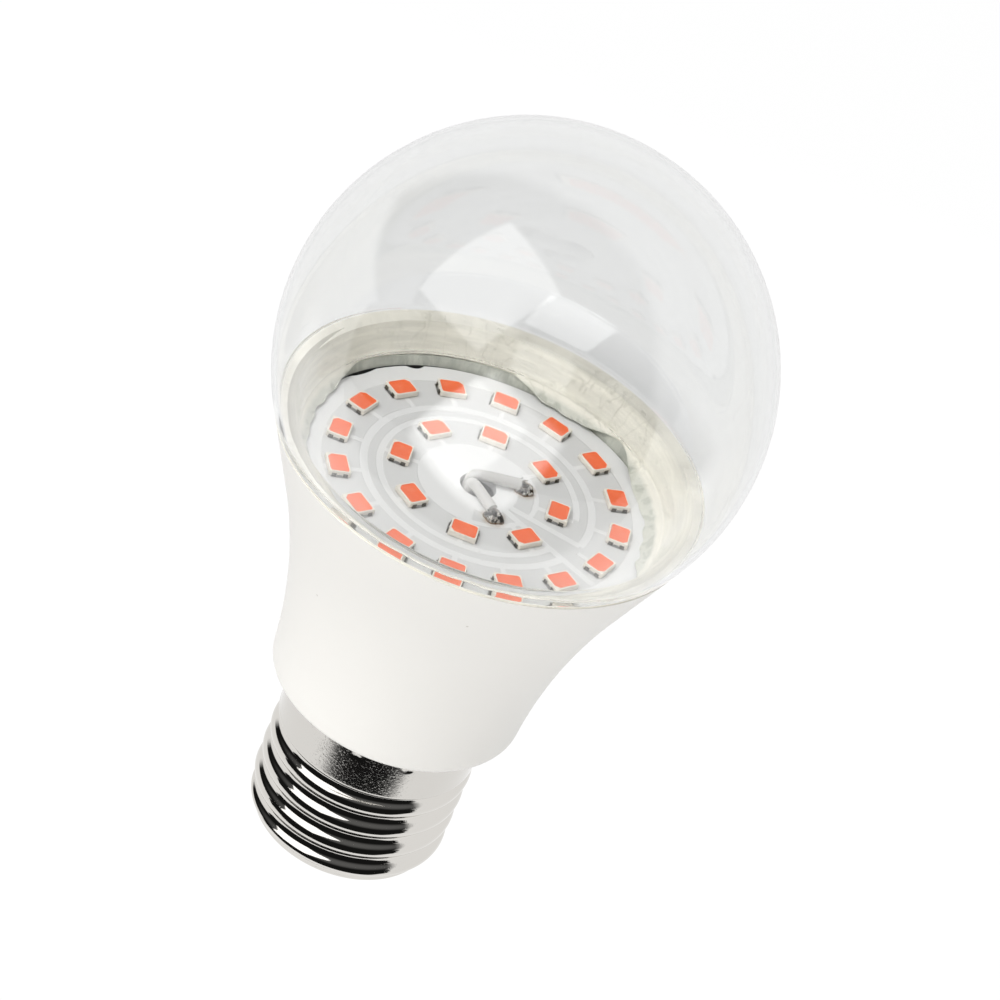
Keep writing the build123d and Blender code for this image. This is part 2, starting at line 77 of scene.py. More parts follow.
def colour(label, words, value):
    return FloatVectorProperty(
        name=label, description=words, default=value, size=3, subtype="COLOR", min=0, max=1
    )


class BulbGlobeSizes(PropertyGroup):
    """Sizes of the clear globe and of the sealant under it."""

    radius: length("Radius", "Outside radius of the ball", 29.95)
    centre: length("Centre", "Height of the ball's centre over the contact", 79.0)
    wall: length("Wall", "Thickness of the clear wall", 1.2)
    drawn_wall: length("Drawn wall", "Thickness of the blown ball over the fold", 0.6)
    fold_round: length("Fold round", "Round of the inner fold between ball and skirt", 0.5)
    edge_round: length("Edge round", "Round of the shelf and of the skirt's lower edge", 0.22)
    shelf: length("Shelf", "Height of the shelf that lies on the rim", 66.0)
    skirt_depth: length("Skirt depth", "How far the skirt goes down inside the rim", 3.4)
    glue_gap: length("Glue gap", "Film of sealant round the skirt", 0.15)
    bead_drop: length("Bead drop", "Height of the bead under the skirt", 0.5)
    bead: length("Bead", "How far the bead reaches in under the skirt", 0.4)


class BulbHousingSizes(PropertyGroup):
    """Sizes of the flared housing, its neck and the cup inside it."""

    rim_height: length("Rim height", "Height of the rim", 65.6)
    rim_radius: length("Rim radius", "Outside radius at the rim", 26.84)
    rim_taper: angle("Rim taper", "Lean of the wall at the rim", 23)
    rim_wall: length("Rim wall", "Thickness of the wall at the rim", 1.0)
    foot_height: length("Foot height", "Height of the lower face", 28.3)
    foot_radius: length("Foot radius", "Outside radius at the lower face", 16.35)
    foot_taper: angle("Foot taper", "Lean of the wall at the foot", 4)
    foot_round: length("Foot round", "Round of the lower edge", 0.7)
    flare: length("Flare", "Radius of the hollow curve between foot and rim", 80)
    wall: length("Wall", "Thickness of the wall", 1.9)
    neck_radius: length("Neck radius", "Outside radius of the neck in the collar", 12.6)
    neck_low_radius: length("Lower neck radius", "Outside radius of the neck in the thread", 11.45)
    neck_bore: length("Neck bore", "Inside radius of the neck", 10.15)
    neck_step: length("Neck step", "Height where the neck gets narrower", 20.6)
    neck_low: length("Neck low", "Height of the neck's lower end", 14.5)
    cup_wall: length("Cup wall", "Thickness of the aluminium cup", 0.5)
    cup_gap: length("Cup gap", "Play between cup and housing", 0.05)
    cup_low: length("Cup low", "Height of the cup's lower lip", 33.0)
    cup_lip: length("Cup lip", "Width of the cup's lower lip", 0.8)


class BulbBoardSizes(PropertyGroup):
    """Sizes of the board, its emitters and its wires."""

    top: length("Top", "Height of the board's upper face", 61.0)
    thickness: length("Thickness", "Thickness of the board", 1.0)
    hole: length("Wire hole", "Radius of the wire hole", 2.3)
    outer_ring: length("Outer ring", "Radius of the outer ring of emitters", 18.1)
    inner_ring: length("Inner ring", "Radius of the inner ring of emitters", 10.2)
    emitter_length: length("Emitter length", "Package size along the ring", 3.5)
    emitter_width: length("Emitter width", "Package size across the ring", 2.8)
    emitter_height: length("Emitter height", "Height of the package", 0.7)
    emitter_rim: length("Emitter rim", "Width of the rim round the gel", 0.21)
    emitter_lift: length("Emitter lift", "Height of the soldered feet", 0.1)
    outer_count: IntProperty(name="Outer count", description="Emitters in the outer ring", default=16, min=1)
    inner_count: IntProperty(name="Inner count", description="Emitters in the inner ring", default=8, min=1)
    wire: length("Wire", "Radius of the wires", 0.7)
    joint: length("Joint", "Radius of the solder joints", 1.25)


class BulbCapSizes(PropertyGroup):
    """Sizes of the screw cap."""

    crest: length("Crest", "Radius over the thread's crests", 13.15)
    pitch: length("Pitch", "Rise of the thread in one turn", 3.629)
    rolled_round: length("Rolled round", "Radius of crests and roots", 1.025)
    thread_low: length("Thread low", "Height where the thread starts", 5.2)
    thread_top: length("Thread top", "Height where the thread ends", 19.4)
    mouth_low: length("Mouth low", "Height of the shell's lower edge", 4.3)
    mouth: length("Mouth", "Radius of the shell's lower edge", 10.3)
    collar: length("Collar", "Radius of the plain collar", 13.0)
    collar_blend: length("Collar blend", "Height over which thread and collar merge", 1.2)
    collar_top: length("Collar top", "Height of the shell's upper edge", 27.95)
    wall: length("Wall", "Thickness of the rolled sheet", 0.3)
    start: angle("Start", "Turn of the thread about the axis", 326)
    crimps: IntProperty(name="Crimps", description="Crimp marks round the collar", default=12, min=1)
    crimp_radius: length("Crimp radius", "Radius of one crimp mark", 0.55)
    crimp_depth: length("Crimp depth", "Depth of one crimp mark", 0.1)
    crimp_drop: length("Crimp drop", "How far the crimp marks lie below the shell's upper edge", 2.6)
    crimp_turn: angle("Crimp turn", "Turn of the crimp marks about the axis", 22.5)


class BulbFinish(PropertyGroup):
    """Colours of the bulb."""

    housing: colour("Housing", "Warm white of the moulded housing", (0.855, 0.838, 0.798))
    sealant: colour("Sealant", "Pale yellow of the sealant", (0.91, 0.88, 0.775))
    aluminium: colour("Aluminium", "Grey of the drawn cup", (0.68, 0.695, 0.62))
    mask: colour("Board mask", "White of the board over bare laminate", (0.81, 0.81, 0.80))
    copper_field: colour("Copper field", "Grey of the board over its copper", (0.69, 0.69, 0.68))
    package: colour("Package", "Cream of the emitter packages", (0.86, 0.80, 0.71))
    gel: colour("Gel", "Coral of the gel in the emitters", (1.0, 0.155, 0.045))
    solder: colour("Solder", "Bright tin", (0.72, 0.71, 0.69))
    wire: colour("Wire", "White sleeve of the wires", (0.55, 0.54, 0.52))
    nickel: colour("Nickel", "Plate of the cap", (0.70, 0.68, 0.645))
    clear: colour("Clear wall", "Tint of the clear globe", (0.9, 0.904, 0.902))


class Term:
    """Socket of a node tree. Arithmetic on it adds Math nodes to the tree."""

    def __init__(self, tree, socket):
        self.tree, self.socket = tree, socket

    def math(self, operation, *others, clamp=False):
        node = self.tree.nodes.new("ShaderNodeMath")
        node.operation, node.use_clamp = operation, clamp
        for slot, value in zip(node.inputs, (self, *others)):
            if isinstance(value, Term):
                self.tree.links.new(value.socket, slot)
            else:
                slot.default_value = value
        return Term(self.tree, node.outputs[0])

    def number(self, value):
        node = self.tree.nodes.new("ShaderNodeValue")
        node.outputs[0].default_value = value
        return Term(self.tree, node.outputs[0])

    def __add__(self, other):
        return self.math("ADD", other)

    def __sub__(self, other):
        return self.math("SUBTRACT", other)

    def __rsub__(self, other):
        return self.math("MULTIPLY_ADD", -1.0, other)

    def __mul__(self, other):
        return self.math("MULTIPLY", other)

    def __truediv__(self, other):
        return self.math("DIVIDE", other)

    def __rtruediv__(self, other):
        return self.number(other) / self

    def root(self):
        return self.math("SQRT")

    def size(self):
        return self.math("ABSOLUTE")

    def nearest(self):
        return self.math("ROUND")

    def least(self, other):
        return self.math("MINIMUM", other)

    def most(self, other):
        return self.math("MAXIMUM", other)

    def above(self, edge, soft):
        """1 where the value lies over an edge, 0 under it, with a soft step."""
        return ((self - edge) / soft).math("ADD", 0.5, clamp=True)

    def below(self, edge, soft):
        return ((self - edge) / -soft).math("ADD", 0.5, clamp=True)

    def band(self, low, high, soft):
        return self.above(low, soft) * self.below(high, soft)

    def eased(self, low, high):
        """Smooth step from 0 at low to 1 at high."""
        node = self.tree.nodes.new("ShaderNodeMapRange")
        node.interpolation_type = "SMOOTHSTEP"
        for label, value in (("Value", self), ("From Min", low), ("From Max", high)):
            if isinstance(value, Term):
                self.tree.links.new(value.socket, node.inputs[label])
            else:
                node.inputs[label].default_value = value
        return Term(self.tree, node.outputs[0])


def mirrorings(tree):
    """How often a ray was mirrored, not counting the clear faces that it went through."""
    rays = tree.nodes.new("ShaderNodeLightPath")
    return Term(tree, rays.outputs["Ray Depth"]) - Term(tree, rays.outputs["Transmission Depth"])


def shown_rays(tree):
    """1 for rays that show the background: straight, mirrored or through a clear wall."""
    rays = tree.nodes.new("ShaderNodeLightPath")
    seen = Term(tree, rays.outputs["Is Camera Ray"])
    for kind in ("Is Transmission Ray", "Is Glossy Ray"):
        seen = seen.most(Term(tree, rays.outputs[kind]))
    return seen


class Finish:
    """Node material under construction, on Object coordinates."""

    def __init__(self, name):
        self.material = bpy.data.materials.new(name)
        self.material.use_nodes = True
        self.tree = self.material.node_tree
        self.shader = self.tree.nodes["Principled BSDF"]
        self.place = self.node("ShaderNodeTexCoord").outputs["Object"]

    def node(self, kind, **values):
        made = self.tree.nodes.new(kind)
        for label, value in values.items():
            setattr(made, label, value)
        return made

    def link(self, source, target):
        self.tree.links.new(source.socket if isinstance(source, Term) else source, target)

    def set(self, **values):
        """Sets or links the shader's sockets, whose names have _ for a blank."""
        for label, value in values.items():
            slot = self.shader.inputs[label.replace("_", " ")]
            if isinstance(value, (Term, bpy.types.NodeSocket)):
                self.link(value, slot)
            elif hasattr(value, "__len__"):
                slot.default_value = (*value[:3], 1.0)[: len(slot.default_value)]
            else:
                slot.default_value = value
        return self

    def scaled(self, stretch):
        mapping = self.node("ShaderNodeMapping")
        self.link(self.place, mapping.inputs["Vector"])
        mapping.inputs["Scale"].default_value = stretch
        return mapping.outputs["Vector"]

    def noise(self, scale, detail=3.0, rough=0.5, place=None):
        made = self.node("ShaderNodeTexNoise")
        self.link(place or self.place, made.inputs["Vector"])
        for label, value in (("Scale", scale), ("Detail", detail), ("Roughness", rough)):
            made.inputs[label].default_value = value
        return Term(self.tree, made.outputs["Fac"])

    def cells(self, scale):
        """Distance to the nearest of scattered points."""
        made = self.node("ShaderNodeTexVoronoi")
        self.link(self.place, made.inputs["Vector"])
        made.inputs["Scale"].default_value = scale
        return Term(self.tree, made.outputs["Distance"])

    def axes(self):
        split = self.node("ShaderNodeSeparateXYZ")
        self.link(self.place, split.inputs[0])
        return [Term(self.tree, socket) for socket in split.outputs]

    def blend(self, share, first, second):
        """Colour between two colours."""
        made = self.node("ShaderNodeMix", data_type="RGBA")
        self.link(share, made.inputs["Factor"])
        for slot, value in ((made.inputs[6], first), (made.inputs[7], second)):
            if isinstance(value, bpy.types.NodeSocket):
                self.link(value, slot)
            else:
                slot.default_value = (*value[:3], 1.0)
        return made.outputs[2]

    def bump(self, height, distance, strength=1.0):
        made = self.node("ShaderNodeBump")
        self.link(height, made.inputs["Height"])
        made.inputs["Distance"].default_value = distance
        made.inputs["Strength"].default_value = strength
        self.link(made.outputs["Normal"], self.shader.inputs["Normal"])
        return self

    def mixed(self, share, first, second):
        """Shader between two shaders."""
        made = self.node("ShaderNodeMixShader")
        for slot, source in zip(made.inputs, (share, first, second)):
            self.link(source, slot)
        return made.outputs[0]

    def ended(self, surface):
        """Material whose surface is a shader other than its first one."""
        self.link(surface, self.tree.nodes["Material Output"].inputs["Surface"])
        return self.material


def shade(value, factor):
    return tuple(min(1.0, part * factor) for part in value[:3])


def clear_finish(tint, shelf):
    """Clear plastic with faint dust, and a painted shade that greys one strip of it over the shelf.

    Lamp light and soft light pass straight through it, as through a thin wall.
    """
    shade_strip_low, shade_strip_high, shade_strip_level = shelf + 0.3 * MM, shelf + 3.5 * MM, 0.83
    shade_strip_from, shade_strip_to = radians(20), radians(94)
    passed = (0.93, 0.93, 0.93, 1)
    finish = Finish("clear_plastic")
    x, y, z = finish.axes()
    # Painted shade: thick masks a greyer strip over the shelf, between two turns about the axis.
    thick = z.below(shade_strip_high, 4 * MM) * z.above(shade_strip_low, 0.6 * MM)
    thick = thick * y.math("ARCTAN2", x).band(shade_strip_from, shade_strip_to, radians(9))
    dust = finish.cells(420).below(0.055, 0.03) * finish.noise(60, 2.0).above(0.55, 0.1)
    finish.set(
        Base_Color=finish.blend(thick, tint, shade(tint, shade_strip_level)),
        Roughness=dust * 0.25,
        IOR=1.5,
        Transmission_Weight=1.0,
    )
    through = finish.node("ShaderNodeBsdfTransparent")
    through.inputs["Color"].default_value = passed
    rays = finish.node("ShaderNodeLightPath")
    surface = finish.shader.outputs[0]
    for kind in ("Is Diffuse Ray", "Is Shadow Ray"):
        surface = finish.mixed(rays.outputs[kind], surface, through.outputs[0])
    return finish.ended(surface)


def housing_finish(base):
    """Satin moulded plastic with a fine grain, slight clouding and a few specks of dust."""
    speck_brown = (0.45, 0.41, 0.36)
    finish = Finish("white_plastic")
    cloud = finish.noise(45)
    grain = finish.noise(2600, 2.0)
    speck = finish.cells(330).below(0.05, 0.03) * finish.noise(120, 1.0).above(0.66, 0.05)
    tone = finish.blend(cloud, shade(base, 0.985), shade(base, 1.015))
    finish.set(
        Base_Color=finish.blend(speck * 0.55, tone, speck_brown),
        Roughness=cloud * 0.10 + 0.33,
        Specular_IOR_Level=0.45,
    )
    return finish.bump(grain + finish.noise(260, 2.0) * 2.0, 0.01 * MM, 0.35).material


def sealant_finish(base, thin_height):
    """Cured sealant: cloudy and streaked, with upright cracks and bubbles, greener where it runs thin."""
    crack_tone, bubble_tone, vein_tone = (0.55, 0.53, 0.44), (0.52, 0.53, 0.42), (0.82, 0.82, 0.75)
    film_dark, film_pale = (0.50, 0.51, 0.44), (0.66, 0.66, 0.58)
    finish = Finish("sealant")
    z = finish.axes()[2]
    streak = finish.noise(160, 4.0, 0.65, finish.scaled((1, 1, 9)))
    upright = finish.noise(420, 2.0, 0.5, finish.scaled((1, 1, 0.05)))
    crack = (upright - 0.5).size().below(0.010, 0.012) * finish.noise(75, 2.0).above(0.52, 0.1)
    bubble = finish.cells(700).below(0.16, 0.08)
    low_part = z.below(thin_height + 1.8 * MM, 2.6 * MM)
    tone = finish.blend(streak.eased(0.3, 0.7), shade(base, 0.9), shade(base, 1.1))
    tone = finish.blend(low_part * 0.3, tone, shade(base, 0.84))
    tone = finish.blend(crack * 0.35, tone, crack_tone)
    tone = finish.blend(bubble * 0.18, tone, bubble_tone)
    film = finish.noise(600, 4.0, 0.7)
    veins = (film - 0.5).size().below(0.02, 0.02)
    thin = finish.blend(film.eased(0.35, 0.65), film_dark, film_pale)
    thin = finish.blend(veins * 0.4, thin, vein_tone)
    finish.set(
        Base_Color=finish.blend(z.below(thin_height, 0.5 * MM), tone, thin),
        Roughness=streak * 0.25 + 0.28,
    )
    return finish.bump(streak + crack * 0.6 - bubble * 0.5, 0.12 * MM, 0.5).material


def aluminium_finish(base, board_top):
    """Drawn sheet with upright marks and a grey bloom, and painted shadow: black in the slit beside the
    board's notches, lighter under the board elsewhere.
    """
    slit_from, slit_to, slit_shadow_black = radians(112), radians(152), (0.012, 0.012, 0.011)
    finish = Finish("aluminium")
    x, y, z = finish.axes()
    marks = finish.noise(900, 3.0, 0.6, finish.scaled((1, 1, 0.08)))
    bloom = finish.noise(130, 4.0, 0.6)
    tone = finish.blend(bloom.eased(0.35, 0.7), shade(base, 0.85), shade(base, 1.1))
    tone = finish.blend(marks.eased(0.4, 0.65) * 0.6, tone, shade(base, 0.6))
    # Painted shadow: black under the board's top in the notches' slit, a fifth as dark under the board
    # elsewhere.
    beside = y.math("ARCTAN2", x).band(slit_from, slit_to, radians(6)) * 0.8 + 0.2
    slit = z.below(board_top - 0.2 * MM, 0.1 * MM) * beside
    finish.set(
        Base_Color=finish.blend(slit, tone, slit_shadow_black),
        Metallic=0.3,
        Roughness=marks * 0.2 + 0.34,
    )
    return finish.bump(marks, 0.03 * MM, 0.5).material


def board_finish(mask, copper):
    """White solder mask whose copper fields show through as grey, laid out in rings round the wire hole.

    Its layout is in millimetres.
    """
    edge, spoke_half, lane_half = 0.09, 0.34, 0.45
    field_in, field_out, pad_in, pad_out = 7.75, 19.85, 5.0, 7.1
    outer_gap, inner_gap, inner_gap_end = (14.05, 15.05), (12.1, 12.95), (radians(-20), radians(2))
    upper, lower = ((4.6, -2.0), (13.9, -4.3)), ((3.6, -2.7), (16.6, -10.6))
    stain_reach, stain_brown, cloud_tone = 1.62, (0.42, 0.29, 0.16), (0.80, 0.79, 0.75)
    finish = Finish("board_white")
    x, y = (part / MM for part in finish.axes()[:2])
    reach = (x * x + y * y).root()
    turn = y.math("ARCTAN2", x)

    def spokes(names, start, end):
        """Gaps between the fields, one at each emitter of a ring."""
        step = 2 * pi / len(names)
        off = turn - (turn / step).nearest() * step
        return (off.math("SINE") * reach).size().below(spoke_half, edge) * reach.band(start, end, edge)

    def across(start, end):
        """Distance from a line, counted to its left, and the line's own way."""
        way = (Vector(end) - Vector(start)).normalized()
        return (x - start[0]) * -way.y + (y - start[1]) * way.x, way

    def line(start, end):
        """Straight gap from one point to another."""
        off, way = across(start, end)
        along = (x - start[0]) * way.x + (y - start[1]) * way.y
        return off.size().below(lane_half, edge) * along.band(0, (Vector(end) - Vector(start)).length, edge)

    def left_of(start, end):
        return across(start, end)[0].above(0, edge)

    lane = left_of(*lower) * (1 - left_of(*upper)) * x.above(4, edge)
    sector = turn.band(*inner_gap_end, 0.02)
    rings = reach.band(*outer_gap, edge) + reach.band(*inner_gap, edge) * (1 - sector)
    gaps = rings * (1 - lane)
    gaps = gaps.most(spokes(OUTER_EMITTERS, 15, 21)).most(spokes(INNER_EMITTERS, 7, 12.3))
    gaps = gaps.most(line(*upper)).most(line(*lower))
    pad_turns = turn.band(radians(-21), radians(44), 0.04).most(turn.band(radians(-86), radians(-33), 0.04))
    pads = reach.band(pad_in, pad_out, edge) * pad_turns
    fields = reach.band(field_in, field_out, edge).most(pads).most(lane * reach.band(pad_in, field_out, edge))
    copper_here = fields * (1 - gaps.least(1.0))
    grain = finish.noise(700)
    tone = finish.blend(copper_here, mask, copper)
    tone = finish.blend(finish.noise(80) * 0.10, tone, cloud_tone)
    spots = []
    for joint_turn in JOINT_TURNS.values():
        off_x = x - JOINT_REACH / MM * cos(joint_turn)
        off_y = y - JOINT_REACH / MM * sin(joint_turn)
        spots.append((off_x * off_x + off_y * off_y).root().below(stain_reach, 0.6))
    stain = spots[0].most(spots[1]) * finish.noise(1500).eased(0.3, 0.62)
    finish.set(
        Base_Color=finish.blend(stain * 0.5, tone, stain_brown),
        Roughness=grain * 0.1 + 0.30,
        Specular_IOR_Level=0.5,
    )
    return finish.bump(copper_here * 3.0 + grain * 0.35, 0.02 * MM, 0.6).material


def package_finish(base):
    """Cream moulding with a fine grain."""
    finish = Finish("led_package")
    grain = finish.noise(1800)
    tone = finish.blend(finish.noise(500, 2.0), shade(base, 0.93), shade(base, 1.05))
    finish.set(Base_Color=tone, Roughness=grain * 0.15 + 0.38)
    return finish.bump(grain, 0.008 * MM, 0.4).material


def gel_finish(base):
    """Phosphor in clear silicone: a fine grain under a glossy skin. Mirrored rays see it pale."""
    grain_tone, drift_tone, mirrored_tone = (1.0, 0.18, 0.055), (1.0, 0.26, 0.12), (0.72, 0.70, 0.68)
    finish = Finish("led_phosphor")
    grain = finish.noise(5200, 3.0, 0.7)
    tone = finish.blend(grain.eased(0.3, 0.7), shade(base, 0.95), grain_tone)
    tone = finish.blend(finish.noise(700).eased(0.45, 0.75) * 0.5, tone, drift_tone)
    mirrored = Term(finish.tree, finish.node("ShaderNodeLightPath").outputs["Is Reflection Ray"])
    finish.set(
        Base_Color=finish.blend(mirrored * 0.85, tone, mirrored_tone),
        Roughness=0.45,
        Specular_IOR_Level=0.3,
        Coat_Weight=0.2,
        Coat_Roughness=0.1,
    )
    return finish.bump(grain, 0.006 * MM, 0.3).material


def metal_finish(name, base, rough, dirt=0.35):
    """Bright metal with fine marks and a darker tarnish in places."""
    finish = Finish(name)
    marks = finish.noise(2400, 3.0, 0.6)
    tarnish = finish.noise(420, 4.0, 0.62).eased(0.5, 0.8)
    finish.set(
        Base_Color=finish.blend(tarnish * dirt, base, shade(base, 0.35)),
        Metallic=1.0,
        Roughness=marks * 0.12 + rough,
    )
    return finish.bump(marks, 0.006 * MM, 0.5).material


def joint_finish(base, board_top):
    """Solder with black patches, partly scorched flux and partly painted dark reflection, and a brown foot.
    """
    stain_tone, flux_and_reflection_black, foot_tone = (0.5, 0.32, 0.14), (0.022, 0.014, 0.007), (0.17, 0.085, 0.025)
    finish = Finish("joint_solder")
    # Painted dark reflection, partly: black patches that also stand for scorched flux.
    flux_and_painted_reflection = finish.noise(1700, 3.0, 0.6).eased(0.45, 0.54)
    stain = finish.noise(900, 2.0).eased(0.42, 0.62)
    foot = finish.axes()[2].below(board_top + 0.2 * MM, 0.25 * MM)
    tone = finish.blend(stain * 0.25, base, stain_tone)
    tone = finish.blend(flux_and_painted_reflection, tone, flux_and_reflection_black)
    finish.set(
        Base_Color=finish.blend(foot * 0.85, tone, foot_tone),
        Metallic=1 - foot * 0.7,
        Roughness=flux_and_painted_reflection * 0.3 + 0.1,
    )
    return finish.bump(finish.noise(1300, 3.0, 0.65), 0.3 * MM, 0.9).material


def nickel_finish(base, collar_low):
    """Bright plate: rolling marks round the cap, fine pits, a light bloom and a speckled collar."""
    finish = Finish("nickel")
    collar = finish.axes()[2].above(collar_low, 0.6 * MM)
    speckle = finish.noise(4200, 2.0).eased(0.5, 0.75)
    rolling = finish.noise(700, 3.0, 0.55, finish.scaled((0.25, 0.25, 5)))
    pits = finish.cells(2600).below(0.2, 0.12) * finish.noise(300, 2.0).above(0.52, 0.2)
    ripple = finish.noise(1100, 3.0, 0.6)
    bloom = finish.noise(110)
    finish.set(
        Base_Color=finish.blend(bloom * 0.3 + collar * 0.35, base, shade(base, 0.85)),
        Metallic=1.0,
        Roughness=bloom * 0.03 + pits * 0.12 + collar * 0.04 + 0.03,
    )
    relief = rolling * 0.6 + pits * 0.5 + ripple * 1.2 + collar * speckle * 1.1
    return finish.bump(relief, 0.012 * MM, 0.3).material


def plain_finish(name, base, rough, grain_scale, spread=0.14, **extra):
    """Moulded, coated or sleeved part with a clouded tone and a fine grain."""
    finish = Finish(name)
    grain = finish.noise(grain_scale)
    cloud = finish.noise(grain_scale / 6).eased(0.3, 0.7)
    finish.set(
        Base_Color=finish.blend(cloud, shade(base, 1 - spread), shade(base, 1 + spread)),
        Roughness=grain * 0.15 + rough,
        **extra,
    )
    return finish.bump(grain, 0.01 * MM, 0.4).material


def flare_radius(height, inset=0.0):
    """Radius of the housing's flared outside, moved inwards, at a height."""
    house = bpy.context.scene.bulb_housing
    low_way = Vector((sin(house.foot_taper), cos(house.foot_taper)))
    high_way = Vector((sin(house.rim_taper), cos(house.rim_taper)))
    low_in, high_in = Vector((-low_way.y, low_way.x)), Vector((-high_way.y, high_way.x))
    foot = Vector((house.foot_radius, house.foot_height)) + low_in * inset
    rim = Vector((house.rim_radius, house.rim_height)) + high_in * inset
    between = rim - foot
    along = between.cross(high_way) / low_way.cross(high_way)
    corner = foot + low_way * along
    bend = house.flare + inset
    reach = bend * tan((house.rim_taper - house.foot_taper) / 2)
    low, high = corner - low_way * reach, corner + high_way * reach
    if height <= low.y:
        return low.x + (height - low.y) * tan(house.foot_taper)
    if height >= high.y:
        return high.x + (height - high.y) * tan(house.rim_taper)
    centre = low - low_in * bend
    return centre.x - sqrt(bend**2 - (height - centre.y) ** 2)


def flare_line(start, end, inset, parts):
    return [(flare_radius(z, inset), z) for z in np.linspace(start, end, parts)]


def ball_line(radius, centre, start, end, parts):
    """Profile points of a ball from one height to another."""
    turns = [asin(max(-1.0, min(1.0, (z - centre) / radius))) for z in (start, end)]
    return [(radius * cos(t), centre + radius * sin(t)) for t in np.linspace(*turns, parts)]


def eased_corner(points, index, radius, parts=6):
    """Profile with one of its corners rounded."""
    corner = Vector(points[index])
    ways, kept = [], []
    for step in (-1, 1):
        near = Vector(points[(index + step) % len(points)])
        ways.append((near - corner).normalized())
    half = ways[0].angle(ways[1]) / 2
    reach = radius / tan(half)
    for step in (-1, 1):
        k = index + step
        while 0 < k < len(points) - 1 and (Vector(points[k]) - corner).length < reach:
            k += step
        kept.append(k)
    centre = corner + (ways[0] + ways[1]).normalized() * (radius / sin(half))
    first, last = corner + ways[0] * reach - centre, corner + ways[1] * reach - centre
    sweep = first.angle_signed(last)
    arc = [centre + Matrix.Rotation(-sweep * k / parts, 2) @ first for k in range(parts + 1)]
    return points[: kept[0] + 1] + [tuple(point) for point in arc] + points[kept[1] :]


def rounded(points, *corners):
    """Profile with several corners rounded, each given by its point and radius."""
    for place, radius in corners:
        near = min(range(len(points)), key=lambda k: (Vector(points[k]) - Vector(place)).length)
        points = eased_corner(points, near, radius)
    return points


def add_piece(name, mesh, material, slot, *replaced):
    """Puts a finished mesh on the bulb's body in place of its solids."""
    mesh.name = name
    mesh.materials.clear()
    mesh.materials.append(material)
    piece = bpy.data.objects.new(name, mesh)
    bpy.context.scene.collection.objects.link(piece)
    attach(piece, BODY)
    if replaced:
        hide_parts(*replaced)


def smooth(mesh, limit=32):
    mesh.polygons.foreach_set("use_smooth", [True] * len(mesh.polygons))
    mesh.set_sharp_from_angle(angle=radians(limit))
    return mesh


def closed_mesh(points, faces, limit=32):
    """Closed mesh with its faces outwards."""
    mesh = bpy.data.meshes.new("piece")
    mesh.from_pydata([tuple(point) for point in points], [], faces)
    work = bmesh.new()
    work.from_mesh(mesh)
    bmesh.ops.remove_doubles(work, verts=work.verts, dist=1e-8)
    bmesh.ops.recalc_face_normals(work, faces=work.faces)
    work.to_mesh(mesh)
    work.free()
    return smooth(mesh, limit)


def lathe(profile, around=AROUND, ring=True, limit=32):
    """Turned mesh. The profile is a list, or a function of the angle; ring closes it on itself."""
    turns = np.arange(around) * 2 * pi / around
    points = []
    for t in turns:
        line = profile(t) if callable(profile) else profile
        points += [(r * cos(t), r * sin(t), z) for r, z in line]
    count = len(points) // around
    faces = []
    for k in range(around):
        here, there = k * count, (k + 1) % around * count
        for j in range(count if ring else count - 1):
            following = (j + 1) % count
            faces.append((here + j, here + following, there + following, there + j))
    return closed_mesh(points, faces, limit)


def merged(meshes):
    """One mesh out of several."""
    work = bmesh.new()
    for mesh in meshes:
        work.from_mesh(mesh)
        bpy.data.meshes.remove(mesh)
    whole = bpy.data.meshes.new("piece")
    work.to_mesh(whole)
    work.free()
    return smooth(whole)


def box_mesh(low, high, bevel=0.0):
    work = bmesh.new()
    bmesh.ops.create_cube(work, size=1.0)
    low, high = Vector(low), Vector(high)
    for vertex in work.verts:
        vertex.co = Vector([low[k] + (vertex.co[k] + 0.5) * (high[k] - low[k]) for k in range(3)])
    if bevel:
        bmesh.ops.bevel(work, geom=work.edges[:], offset=bevel, segments=2, profile=0.5, affect="EDGES")
    mesh = bpy.data.meshes.new("piece")
    work.to_mesh(mesh)
    work.free()
    return mesh


def start_tree(name, inputs):
    """Geometry tree with named inputs, its input node and their identifiers."""
    tree = bpy.data.node_groups.new(name, "GeometryNodeTree")
    tree.interface.new_socket(name="Geometry", in_out="OUTPUT", socket_type="NodeSocketGeometry")
    kinds = {float: "NodeSocketFloat", int: "NodeSocketInt"}
    names = {}
    for label, value in inputs.items():
        kind = kinds.get(type(value), "NodeSocketObject")
        socket = tree.interface.new_socket(name=label, in_out="INPUT", socket_type=kind)
        if type(value) in kinds:
            socket.default_value = value
        names[label] = socket.identifier
    return tree, tree.nodes.new("NodeGroupInput"), names


def end_tree(tree, geometry, material):
    """Realize Instances and Set Material at the end of a tree."""
    real, paint = tree.nodes.new("GeometryNodeRealizeInstances"), tree.nodes.new("GeometryNodeSetMaterial")
    out = tree.nodes.new("NodeGroupOutput")
    paint.inputs["Material"].default_value = material
    tree.links.new(geometry, real.inputs[0])
    tree.links.new(real.outputs[0], paint.inputs["Geometry"])
    tree.links.new(paint.outputs[0], out.inputs[0])


def baked(holder):
    """Plain mesh of an object with its modifiers or bevel applied. The object goes."""
    bpy.context.scene.collection.objects.link(holder)
    state = bpy.context.evaluated_depsgraph_get()
    mesh = bpy.data.meshes.new_from_object(holder.evaluated_get(state))
    holder.modifiers.clear()
    bpy.data.objects.remove(holder)
    return mesh


def grown(tree, names, inputs):
    """Plain mesh that a tree makes from its inputs."""
    holder = bpy.data.objects.new("holder", bpy.data.meshes.new("holder"))
    modifier = holder.modifiers.new("growth", "NODES")
    modifier.node_group = tree
    for label, value in inputs.items():
        modifier[names[label]] = value
    mesh = baked(holder)
    if not mesh.polygons:
        raise RuntimeError(f"{tree.name} made no faces")
    return mesh


